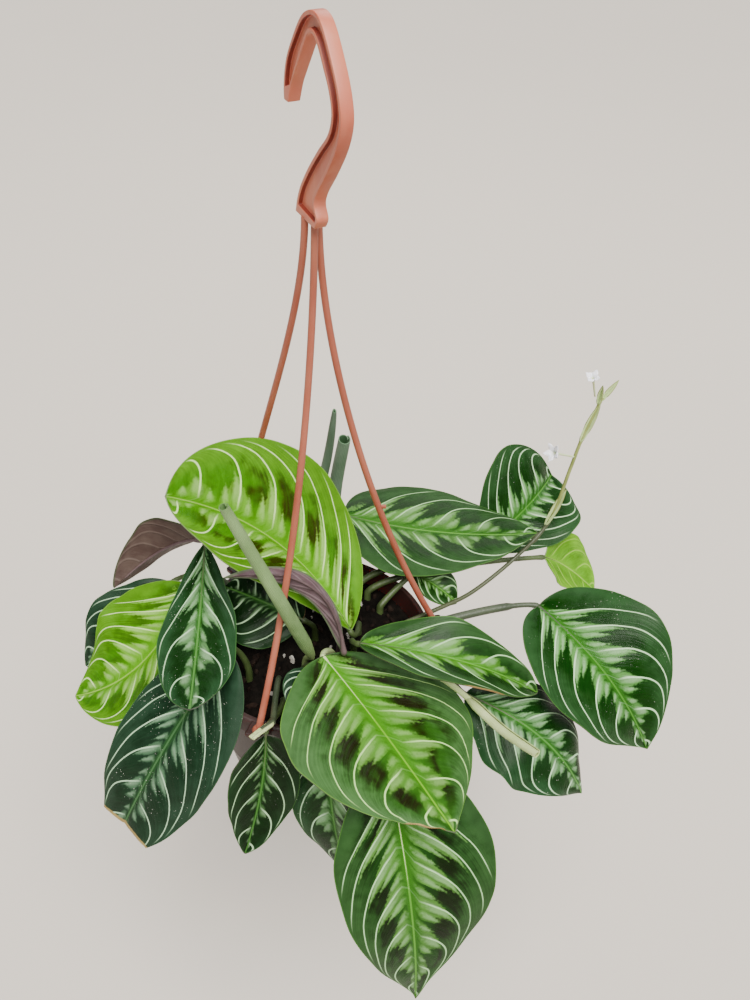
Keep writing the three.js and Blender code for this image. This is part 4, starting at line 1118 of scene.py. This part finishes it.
def stalk_route(foot, start, arrive, rise, swing, steps=28):
    """The way of a stalk from its hole in the soil up to where the blade starts."""
    foot = Vector((foot[0], foot[1], SOIL_TOP - HOLE_DEPTH + GAP))
    clear = Vector((foot.x, foot.y, SOIL_TOP + SOIL_CROWN + 2))
    stretch = (start - clear).length
    leave = clear + (Vector(rise) if rise else UP * 0.45 * stretch)
    swung = start - arrive * swing * stretch
    points = [foot, blend(foot, clear, 0.5), clear]
    points += [along_bezier(clear, leave, swung, start, k / steps) for k in range(1, steps + 1)]
    return points


def build_stalk(leaf):
    """The leaf's stalk, which runs on under the blade as its raised midrib."""
    lay = blade_frame(leaf)
    under = lay["face"] * -MIDRIB_SINK
    start = midrib_point(leaf, lay, 0) + under
    arrive = midrib_way(leaf, lay, 0)
    route = stalk_route(leaf["foot"], start, arrive, leaf["rise"], leaf["swing"])
    free = len(route)
    ribs = [0.04 * k for k in range(1, 23)]  # the midrib's points along the blade
    route += [midrib_point(leaf, lay, way) + under * blend(1, 0.5, way) for way in ribs]
    last = len(route) - 1

    def radius(along):
        spot = along * last
        if spot < free:
            # A swollen joint takes up the last five steps before the blade.
            joint = smooth(spot, free - 5, free - 2) - smooth(spot, free - 2, free)
            low, high = leaf["sheath"]
            swollen = SHEATH_THICKNESS if low < spot / free < high else STALK_SWELL * joint
            return blend(STALK_FOOT_RADIUS, STALK_RADIUS, spot / free) + swollen
        return blend(MIDRIB_RADIUS, MIDRIB_END_RADIUS, (spot - free) / (last - free))

    return tube(leaf["name"] + "_stalk", route, radius)


def build_leaf(leaf, thickness, stalks):
    leaf = dict(LEAF_DEFAULTS, **leaf)
    look = BLADE_LOOKS[leaf["look"]]
    upper = blade_upper(leaf["name"] + "_upper", look, leaf["patch"], leaf["width"])
    under = blade_under(leaf["name"] + "_under", look)
    blade = build_blade(leaf, thickness, (upper, under))
    stalk = build_stalk(leaf)
    paint(stalk, stalks[leaf["stalk"]])
    join_pieces(blade, [stalk])
    finished(blade, leaf["name"])


# ------------------------------------------------------------------ rolled leaves
def build_roll(leaf, finishes):
    """A new leaf that is still rolled: a scroll that opens a little at its mouth."""
    steps = 48
    centres = [along_spline(leaf["line"], k / steps) for k in range(steps + 1)]
    frames = frames_along(centres)

    def place(across, along):
        turn = (across + 1) / 2
        centre, out, up = frames[round(along * steps)]
        swell = min(1, ROLL_START + ROLL_OPENING * along)
        radius = blend(leaf["radius"] * swell, leaf["mouth"], along**3)
        lip = ROLL_LIP * smooth(along, 0.9, 1.0) * math.sin(2 * math.pi * turn)
        reach = radius * blend(ROLL_TIGHT, 1, turn) - ROLL_INSET
        angle = 2 * math.pi * ROLL_TURNS * turn
        way = out.cross(up)
        point = centre + out * (reach * math.cos(angle)) + up * (reach * math.sin(angle))
        return point + way * lip, (turn, along)

    roll = shaped_sheet(leaf["name"], 44, steps, place, ROLL_MARKS)
    thicken(roll, ROLL_THICKNESS * MM, finishes)
    return roll


def build_rolled_leaf(leaf):
    leaf = dict(ROLL_DEFAULTS, **leaf)
    look = ROLL_LOOKS[leaf["look"]]
    inside = roll_inside(leaf["name"] + "_inside", look)
    outside = roll_outside(leaf["name"] + "_outside", look)
    roll = build_roll(leaf, (outside, inside))
    start = Vector(leaf["line"][0])
    inward = (Vector(leaf["line"][1]) - start).normalized()
    arrive = Vector(leaf["arrive"]) if leaf["arrive"] else inward
    route = stalk_route(leaf["foot"], start, arrive, leaf["rise"], leaf["swing"])
    route += [start + inward * run for run in ROLL_STALK_RUN]
    stalk = tube(leaf["name"] + "_stalk", route, lambda along: blend(*ROLL_STALK_RADII, along))
    low_high = STALK_LOOKS[leaf["stalk"]] if leaf["stalk"] else (look["low"], look["foot"])
    paint(stalk, stalk_finish(leaf["name"] + "_stalk", *low_high))
    join_pieces(roll, [stalk])
    finished(roll, leaf["name"])


# ------------------------------------------------------------------ flower stalk and blossoms
def build_flower_stalk(thickness):
    foot = Vector((FLOWER_FOOT[0], FLOWER_FOOT[1], SOIL_TOP - HOLE_DEPTH + GAP))
    clear = Vector((foot.x, foot.y, SOIL_TOP + SOIL_CROWN))
    steps = 90
    route = [foot, clear] + [along_spline(FLOWER_LINE, k / steps) for k in range(steps + 1)]

    def radius(along):
        off = min(abs(along - joint) for joint in FLOWER_JOINTS)
        swollen = FLOWER_JOINT_SWELL * (1 - smooth(off, 0.0, FLOWER_JOINT_REACH))
        return blend(FLOWER_RADIUS, FLOWER_END_RADIUS, along) + swollen

    stalk = tube("flower_stalk", route, radius)
    dark_below = metres((0, 0, FLOWER_DARK_HEIGHT)).z
    paint(stalk, stalk_finish("flower_stalk_olive", *STALK_LOOKS["stalk_olive"], dark_below))
    bract_colours = (stalk_finish("bract_pale", *STALK_LOOKS["stalk_pale"]),
                     stalk_finish("bract_olive", *STALK_LOOKS["stalk_olive"]))
    forms = [dict(BRACT_FORM, **bract) for bract in BRACTS]
    join_pieces(stalk, [build_blade(form, thickness, bract_colours, *BRACT_GRID) for form in forms])
    finished(stalk, "flower_stalk")


def build_blossom(blossom, colour):
    start = Vector(blossom["start"])
    end = Vector(blossom["end"])
    way = (end - start).normalized()
    across = UP.cross(way).normalized()
    points = [blend(start, end, k / 6) for k in range(7)]
    flower = tube(
        blossom["name"], points, lambda along: blend(*BLOSSOM_STALK_RADII, along), sides=10
    )
    paint(flower, colour)
    petals = []
    for k in range(blossom["petals"]):
        out = Matrix.Rotation(2 * math.pi * k / blossom["petals"], 3, way) @ across
        reach = Matrix.Rotation(math.radians(PETAL_SPREAD), 3, way.cross(out)) @ way
        base = end - way
        tip = base + reach * blossom["length"]
        form = dict(PETAL_FORM, name=f"petal_{k}", base=base, tip=tip, face=way)
        petals.append(build_blade(form, PETAL_THICKNESS, (colour,), *PETAL_GRID))
    join_pieces(flower, petals)
    finished(flower, blossom["name"])


# ------------------------------------------------------------------ hook and strands
def edge_point(edge, way):
    along, up = along_spline([(x, y, 0) for x, y in edge], way).xy
    return SADDLE + HOOK_WAY * along + UP * up


def build_hook(colour, pocket_shade, bevel):
    """The moulded channel: a plate between two edges, with a pocket pressed in from each side."""
    rows = 120
    columns = 12
    rim_columns = 2 / columns

    def place(across, along):
        outer = edge_point(HOOK_OUTER_EDGE, along)
        inner = edge_point(HOOK_INNER_EDGE, along)
        wide = (inner - outer).length
        edge = abs(across)
        if edge > 1 - rim_columns:
            off = (1 - edge) / rim_columns * HOOK_RIM
        else:
            off = blend(HOOK_RIM, wide / 2, 1 - edge / (1 - rim_columns))
        share = off / wide if across < 0 else 1 - off / wide
        return blend(outer, inner, share), ()

    hook = shaped_sheet("hook", columns, rows, place)
    paint(hook, colour, pocket_shade)
    for face in hook.data.polygons:
        row = face.index // columns
        column = face.index % columns
        inside = 0 < column < columns - 1 and POCKET_FROM <= row / rows <= POCKET_TO
        face.material_index = 1 if inside else 0
    weld(hook)
    apply_modifier(hook, "SOLIDIFY", thickness=HOOK_WIDTH * MM, offset=0, use_rim=True)
    select_only(hook)
    hook.active_material_index = 1
    bpy.ops.object.mode_set(mode="EDIT")
    bpy.ops.mesh.select_mode(type="FACE")
    bpy.ops.mesh.select_all(action="DESELECT")
    bpy.ops.object.material_slot_select()
    bpy.ops.mesh.extrude_region_shrink_fatten(
        TRANSFORM_OT_shrink_fatten={"value": -POCKET_DEPTH * MM}
    )
    bpy.ops.object.mode_set(mode="OBJECT")
    # The pocket's walls take the second finish, which paints the shade that falls in them; its
    # floor keeps the plain plastic.
    floor_edges = {edge for face in hook.data.polygons if face.select for edge in face.edge_keys}
    for face in hook.data.polygons:
        wall = not face.select and not floor_edges.isdisjoint(face.edge_keys)
        face.material_index = 1 if wall else 0
    weld(hook, close=True)
    apply_modifier(hook, "BEVEL", width=bevel, segments=3, limit_method="ANGLE",
                   angle_limit=math.radians(40))
    smooth_shade(hook)
    finished(hook, "hook")


def strand_route(which, steps=70):
    strand = STRANDS[which]
    top = Vector((*strand["top"], FOOT_LEVEL + 0.6))
    end = polar(EAR_CIRCLE, strand["azimuth"], 0)
    plumb = top - UP * STRAND_PLUMB
    spread = polar(strand["spread"], strand["azimuth"], STRAND_SPREAD_HEIGHT)
    return [along_bezier(top, plumb, spread, end, k / steps) for k in range(steps + 1)]


def build_strand(which, colour):
    """A thin moulded strand; below, its collar and its barb hold it in the ear of the rim."""
    name = "strand_" + which
    route = strand_route(which)
    strand = tube(
        name, route, lambda along: blend(STRAND_RADIUS, STRAND_END_RADIUS, along), sides=14,
        oval=STRAND_OVAL,
    )
    centre = polar(EAR_CIRCLE, STRANDS[which]["azimuth"], 0)
    barb_top = -EAR_THICKNESS - GAP
    parts = [
        upright_cone(
            name + "_shank", STRAND_END_RADIUS, STRAND_END_RADIUS, barb_top - 0.5, 1, centre,
            sides=20,
        ),
        upright_cone(
            name + "_barb", BARB_TIP_RADIUS, BARB_RADIUS, barb_top - BARB_LENGTH, barb_top, centre
        ),
        upright_cone(
            name + "_collar", COLLAR_RADIUS, COLLAR_TOP_RADIUS, GAP, GAP + COLLAR_HEIGHT, centre
        ),
    ]
    if which == "right":
        place = route[round(NUB_WAY * (len(route) - 1))] + Vector((NUB_OUT, 0, 0))
        parts.append(block(name + "_nub", place, NUB_SIZE))
    for part in parts:
        apply_modifier(part, "BEVEL", width=0.25 * MM, segments=2, limit_method="ANGLE")
        smooth_shade(part)
    join_pieces(strand, parts)
    paint(strand, colour)
    finished(strand, name)


# ------------------------------------------------------------------ pot and soil
def wall_radius(height):
    way = (height + RIM_HEIGHT) / (RIM_HEIGHT - POT_HEIGHT)
    return blend(SHOULDER_RADIUS, BASE_RADIUS, way)


def pot_profile():
    """From the middle of the base, up the outside, over the rim and down the inside."""
    foot = -POT_HEIGHT
    inside = wall_radius(foot + POT_FLOOR) - WALL
    ridge = [(wall_radius(height) + out, height) for height, out in POT_RIDGE]
    return [
        (BASE_RADIUS - 6, foot + 1.2), (BASE_RADIUS - 5, foot), (BASE_RADIUS, foot),
        *ridge, (SHOULDER_RADIUS - 0.4, -RIM_HEIGHT - 1.5),
        (SHOULDER_RADIUS, -RIM_HEIGHT), (RIM_RADIUS - 1, -RIM_HEIGHT),
        (RIM_RADIUS - 0.2, -RIM_HEIGHT + 1), (RIM_RADIUS, -1), (RIM_RADIUS - 1, 0),
        (RIM_RADIUS - RIM_THICKNESS, 0),
        (SHOULDER_RADIUS - WALL, -RIM_HEIGHT), (inside, foot + POT_FLOOR),
    ]


def build_pot(colour, sides=128):
    profile = pot_profile()
    radius, height = profile[0]
    deselect()
    bpy.ops.mesh.primitive_circle_add(
        vertices=sides, radius=radius * MM, fill_type="NGON", location=metres((0, 0, height))
    )
    pot = name_piece("pot")
    bake_place(pot)
    bpy.ops.object.mode_set(mode="EDIT")
    bpy.ops.mesh.select_all(action="SELECT")
    bpy.ops.mesh.flip_normals()
    bpy.ops.mesh.select_mode(type="EDGE")
    bpy.ops.mesh.select_all(action="DESELECT")
    bpy.ops.mesh.select_non_manifold()
    for next_radius, next_height in profile[1:]:
        bpy.ops.mesh.extrude_edges_move(
            TRANSFORM_OT_translate={"value": (0, 0, (next_height - height) * MM)}
        )
        share = next_radius / radius
        bpy.ops.transform.resize(
            value=(share, share, 1), center_override=metres((0, 0, next_height))
        )
        radius, height = next_radius, next_height
    bpy.ops.mesh.edge_face_add()
    bpy.ops.mesh.select_all(action="SELECT")
    bpy.ops.mesh.normals_make_consistent(inside=False)
    bpy.ops.object.mode_set(mode="OBJECT")
    apply_modifier(pot, "BEVEL", width=0.35 * MM, segments=3, limit_method="ANGLE",
                   angle_limit=math.radians(25))
    for strand in STRANDS.values():
        pot_ear(pot, strand["azimuth"])
    for k in range(DRAINS):
        centre = polar(DRAIN_CIRCLE, 360 * k / DRAINS, 0)
        drain = upright_cone(
            "drain", DRAIN_RADIUS, DRAIN_RADIUS, -POT_HEIGHT - 2, -POT_HEIGHT + 6, centre
        )
        cut(pot, drain)
    smooth_shade(pot, degrees=35)
    paint(pot, colour)
    finished(pot, "pot")


def pot_ear(pot, azimuth):
    """An ear on the rim, with its round hole for a strand's barb."""
    length = EAR_REACH - RIM_RADIUS + 1.5
    turned = Matrix.Rotation(math.radians(azimuth), 3, "Z")
    middle = turned @ Vector((EAR_REACH - length / 2, 0, -EAR_THICKNESS / 2))
    ear = block("ear", middle, (length, EAR_WIDTH, EAR_THICKNESS), azimuth)
    apply_modifier(ear, "BEVEL", width=0.9 * MM, segments=4, limit_method="ANGLE")
    unite(pot, ear)
    centre = polar(EAR_CIRCLE, azimuth, 0)
    cut(pot, upright_cone("ear_hole", EAR_HOLE, EAR_HOLE, -EAR_THICKNESS - 2, 2, centre))


def soil_height(x, y):
    """The height of the crumbly surface: a low crown in the middle, and even at the wall."""
    radius = math.hypot(x, y)
    crown = SOIL_TOP + SOIL_CROWN * (1 - smooth(radius, 10, 55))
    rough = noise.fractal(Vector((x, y, 0)) * 0.16, 0.8, 2.1, 5) * 1.6
    return crown + rough * smooth(radius, 56, 48)


def build_soil(colour, perlite_colour, bark_colour, perlite_count, bark_count):
    """One closed body of soil with a crumbly top, and loose grains on it."""
    bottom = -POT_HEIGHT + POT_FLOOR + GAP
    clear = WALL + 0.45
    edge = SHOULDER_RADIUS - clear
    top_share = 0.8  # of the sheet's rows; the rest go down the side and under the body
    side_share = 0.75

    def place(across, along):
        angle = math.pi * across
        if along <= top_share:
            radius = edge * along / top_share
            x, y = radius * math.cos(angle), radius * math.sin(angle)
            return Vector((x, y, soil_height(x, y))), ()
        low = (along - top_share) / (1 - top_share)
        if low < side_share:
            height = blend(SOIL_TOP, bottom, low / side_share)
            radius = wall_radius(min(height, -RIM_HEIGHT)) - clear
        else:
            height = bottom
            radius = (wall_radius(bottom) - clear) * (1 - low) / (1 - side_share)
        return Vector((radius * math.cos(angle), radius * math.sin(angle), height)), ()

    soil = shaped_sheet("soil", 120, 60, place)
    weld(soil, close=True)
    smooth_shade(soil, degrees=60)
    paint(soil, colour)
    draw = random.Random(GRAIN_SEED)
    perlite = scattered_grains("perlite", perlite_count, PERLITE_SIZES, draw)
    bark = scattered_grains("bark", bark_count, BARK_SIZES, draw)
    paint(perlite, perlite_colour)
    paint(bark, bark_colour)
    join_pieces(soil, [perlite, bark])
    finished(soil, "soil")


def scattered_grains(name, count, sizes, draw):
    """Grains lying half sunk on the soil, each an uneven pebble of its own."""
    grains = []
    for k in range(count):
        radius = (SHOULDER_RADIUS - 6) * math.sqrt(draw.random())
        angle = draw.uniform(0, 2 * math.pi)
        x, y = radius * math.cos(angle), radius * math.sin(angle)
        size = draw.uniform(*sizes)
        stretch = Vector((size * draw.uniform(0.7, 1.5), size * draw.uniform(0.6, 1.0), size * 0.6))
        turn = [draw.uniform(0, math.pi) for axis in range(3)]
        deselect()
        bpy.ops.mesh.primitive_ico_sphere_add(
            subdivisions=2, radius=MM, location=metres((x, y, soil_height(x, y) + 0.25)),
            rotation=turn, scale=stretch,
        )
        grain = name_piece(f"{name}_{k}")
        for vertex in grain.data.vertices:
            vertex.co *= 1 + 0.35 * noise.noise(vertex.co * 900 + Vector((k, 0, 0)))
        grains.append(grain)
    join_pieces(grains[0], grains[1:])
    whole = name_piece(name)
    bake_place(whole)
    smooth_shade(whole, degrees=30)
    return whole


# ------------------------------------------------------------------ floor, light and camera
CAMERA_PLACE = (0, -346, 367)  # mm, pot's frame
CAMERA_DOWN = math.radians(39)
FOCAL_PIXELS = 1000
FRAME_PIXELS = (750, 1000)
PRINCIPAL_PIXEL = (311, 500)


def linked(data, name):
    """An object for a camera or a light, in the scene."""
    thing = bpy.data.objects.new(name, data)
    bpy.context.scene.collection.objects.link(thing)
    return thing


def add_camera():
    data = bpy.data.cameras.new("camera")
    camera = linked(data, "camera")
    data.sensor_fit = "AUTO"
    data.sensor_width = 36
    longest = max(FRAME_PIXELS)
    data.lens = data.sensor_width * FOCAL_PIXELS / longest
    data.shift_x = (FRAME_PIXELS[0] / 2 - PRINCIPAL_PIXEL[0]) / longest
    data.shift_y = (PRINCIPAL_PIXEL[1] - FRAME_PIXELS[1] / 2) / longest
    data.clip_start = 0.01
    camera.location = metres(CAMERA_PLACE)
    camera.rotation_euler = (math.pi / 2 - CAMERA_DOWN, 0, 0)
    bpy.context.scene.camera = camera


def add_light(name, place, aim, size, power, colour):
    data = bpy.data.lights.new(name, "AREA")
    data.shape = "DISK"
    data.size = size
    data.energy = power
    data.color = colour
    light = linked(data, name)
    light.location = place
    way = Vector(aim) - Vector(place)
    light.rotation_euler = way.to_track_quat("-Z", "Y").to_euler()


def add_sun(way, power, spread, colour):
    data = bpy.data.lights.new("sun", "SUN")
    data.energy = power
    data.angle = math.radians(spread)
    data.color = colour
    light = linked(data, "sun")
    light.rotation_euler = Vector(way).to_track_quat("-Z", "Y").to_euler()


# ------------------------------------------------------------------ what a user would change
def colour_setting(name, description, default):
    return bpy.props.FloatVectorProperty(
        name=name, description=description, subtype="COLOR", size=3, min=0, max=1, default=default,
    )


class PlantColours(bpy.types.PropertyGroup):
    """The colours that aren't part of a leaf's pattern."""

    plastic: colour_setting("Plastic", "Base colour of the moulded plastic", (0.36, 0.075, 0.038))
    plastic_light: colour_setting(
        "Plastic, lighter", "Colour that the plastic drifts to", (0.47, 0.13, 0.072)
    )
    # The pot's dark red-brown is partly its plastic's own colour and partly painted shade, darkened
    # for the shade under the leaves.
    pot: colour_setting("Pot", "Colour of the pot's dark plastic", (0.012, 0.003, 0.002))
    # Near black: partly the moist mix's own colour, partly painted shade from the leaves over it.
    soil: colour_setting("Soil", "Colour of the moist potting mix", (0.002, 0.0015, 0.001))
    petal: colour_setting("Petals", "Colour of the blossoms' petals", (0.76, 0.72, 0.84))
    floor: colour_setting("Floor", "Colour of the plain floor", (0.48, 0.44, 0.39))


class PlantSizes(bpy.types.PropertyGroup):
    """The sizes and counts that leave the plant's layout alone."""

    leaf_thickness: bpy.props.FloatProperty(
        name="Leaf thickness", description="Thickness of an open leaf", unit="LENGTH",
        min=0.0002, max=0.001, default=0.0005, precision=5,
    )
    plastic_bevel: bpy.props.FloatProperty(
        name="Hook edge", description="Radius of the hook's moulded edges", unit="LENGTH",
        min=0.0001, max=0.0006, default=0.0004, precision=5,
    )
    perlite: bpy.props.IntProperty(
        name="Perlite", description="Number of pale perlite grains on the soil", min=1, default=34,
    )
    bark: bpy.props.IntProperty(
        name="Bark", description="Number of bark crumbs on the soil", min=1, default=190,
    )
    floor_drop: bpy.props.FloatProperty(
        name="Floor below", description="How far the floor lies below the lowest leaf",
        unit="LENGTH", min=0.01, default=0.3,
    )


class MESH_OT_plant_leaves(bpy.types.Operator):
    """Model every open leaf with its stalk"""

    bl_idname = "mesh.plant_leaves"
    bl_label = "Open leaves"

    def execute(self, context):
        stalks = {name: stalk_finish(name, *look) for name, look in STALK_LOOKS.items()}
        for leaf in LEAVES:
            build_leaf(leaf, context.scene.plant_sizes.leaf_thickness, stalks)
        return {"FINISHED"}


class MESH_OT_plant_rolled_leaves(bpy.types.Operator):
    """Model the new leaves that are still rolled"""

    bl_idname = "mesh.plant_rolled_leaves"
    bl_label = "Rolled leaves"

    def execute(self, context):
        for leaf in ROLLED_LEAVES:
            build_rolled_leaf(leaf)
        return {"FINISHED"}


class MESH_OT_plant_flower(bpy.types.Operator):
    """Model the flower stalk, its bracts and its two blossoms"""

    bl_idname = "mesh.plant_flower"
    bl_label = "Flower stalk"

    def execute(self, context):
        build_flower_stalk(context.scene.plant_sizes.leaf_thickness)
        petal = petal_finish("petal_lilac", context.scene.plant_colours.petal[:], PETAL_THROAT)
        for blossom in BLOSSOMS:
            build_blossom(blossom, petal)
        return {"FINISHED"}


class MESH_OT_plant_hanger(bpy.types.Operator):
    """Model the moulded hook and its three strands"""

    bl_idname = "mesh.plant_hanger"
    bl_label = "Hook and strands"

    def execute(self, context):
        colours = context.scene.plant_colours
        base = colours.plastic[:]
        drift = colours.plastic_light[:]
        plastic = plastic_finish("terracotta_plastic", base, drift, PALE_STREAK, PLASTIC_ROUGHNESS)
        # Painted shade for the pocket's walls: a darker red than the hook's plastic.
        pocket_shade = plastic_finish("terracotta_pocket_shade", POCKET_WALL_SHADE, POCKET_WALL_SHADE_PALER, POCKET_WALL_SHADE_PALER, 0.4)
        build_hook(plastic, pocket_shade, context.scene.plant_sizes.plastic_bevel)
        shades = (base, drift, PALE_STREAK)
        deeper = [[value * STRAND_SHADE for value in shade] for shade in shades]
        strand_plastic = plastic_finish("terracotta_strand", *deeper, PLASTIC_ROUGHNESS)
        for which in STRANDS:
            build_strand(which, strand_plastic)
        return {"FINISHED"}


class MESH_OT_plant_pot(bpy.types.Operator):
    """Model the pot with its rim, ears and drain holes"""

    bl_idname = "mesh.plant_pot"
    bl_label = "Pot"

    def execute(self, context):
        # This colour holds painted shade as well as the plastic's own dark red-brown.
        colour = context.scene.plant_colours.pot[:]
        drift = [value * 1.6 for value in colour]
        pale = [value * 3 for value in colour]
        build_pot(plastic_finish("pot_plastic", colour, drift, pale, 0.42))
        return {"FINISHED"}


class MESH_OT_plant_soil(bpy.types.Operator):
    """Model the soil with perlite and bark crumbs on it"""

    bl_idname = "mesh.plant_soil"
    bl_label = "Soil"

    def execute(self, context):
        sizes = context.scene.plant_sizes
        # The soil's colours hold painted shade as well as its own dark colour.
        build_soil(
            crumb_finish("soil_dark_and_shade", context.scene.plant_colours.soil[:], SOIL_PALER_SHADED, 0.8, 260),
            crumb_finish("perlite_white", PERLITE_SHADE, PERLITE_WHITE, 0.75, 700),
            crumb_finish("bark_brown", BARK_DARK, BARK_LIGHT, 0.8, 500),
            sizes.perlite, sizes.bark,
        )
        return {"FINISHED"}


class SCENE_OT_plant_stage(bpy.types.Operator):
    """Lay the plain floor and set the soft lights and the camera"""

    bl_idname = "scene.plant_stage"
    bl_label = "Floor, lights and camera"

    def execute(self, context):
        low = cad_box[0].z - context.scene.plant_sizes.floor_drop
        deselect()
        bpy.ops.mesh.primitive_plane_add(size=FLOOR_SIZE, location=(0, 0, low))
        floor = name_piece("floor")
        bake_place(floor)
        paint(floor, stage_finish("floor_pale", context.scene.plant_colours.floor[:]))
        add_sun(**SUN)
        for light in LIGHTS:
            add_light(**light)
        world = bpy.data.worlds.new("soft_sky")
        world.use_nodes = True
        background = world.node_tree.nodes["Background"]
        background.inputs["Color"].default_value = (*SKY_COLOUR, 1)
        background.inputs["Strength"].default_value = SKY_STRENGTH
        context.scene.world = world
        add_camera()
        return {"FINISHED"}


class VIEW3D_PT_plant(bpy.types.Panel):
    """Lists the plant's pieces, sizes and colours"""

    bl_idname = "VIEW3D_PT_plant"
    bl_label = "Hanging prayer plant"
    bl_space_type = "VIEW_3D"
    bl_region_type = "UI"
    bl_category = "Plant"

    def draw(self, context):
        for group in (context.scene.plant_sizes, context.scene.plant_colours):
            box = self.layout.box()
            for setting in group.__annotations__:
                box.prop(group, setting)
        for operator in OPERATORS:
            self.layout.operator(operator.bl_idname)


OPERATORS = (
    SCENE_OT_plant_stage,
    MESH_OT_plant_pot,
    MESH_OT_plant_soil,
    MESH_OT_plant_hanger,
    MESH_OT_plant_leaves,
    MESH_OT_plant_rolled_leaves,
    MESH_OT_plant_flower,
)
CLASSES = (PlantColours, PlantSizes, *OPERATORS, VIEW3D_PT_plant)


def register():
    for one in CLASSES:
        bpy.utils.register_class(one)
    bpy.types.Scene.plant_colours = bpy.props.PointerProperty(type=PlantColours)
    bpy.types.Scene.plant_sizes = bpy.props.PointerProperty(type=PlantSizes)


def unregister():
    del bpy.types.Scene.plant_sizes
    del bpy.types.Scene.plant_colours
    for one in reversed(CLASSES):
        bpy.utils.unregister_class(one)


def main():
    register()
    bpy.ops.scene.plant_stage()
    bpy.ops.mesh.plant_pot()
    bpy.ops.mesh.plant_soil()
    bpy.ops.mesh.plant_hanger()
    bpy.ops.mesh.plant_leaves()
    bpy.ops.mesh.plant_rolled_leaves()
    bpy.ops.mesh.plant_flower()
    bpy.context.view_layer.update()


if __name__ == "__main__":
    main()
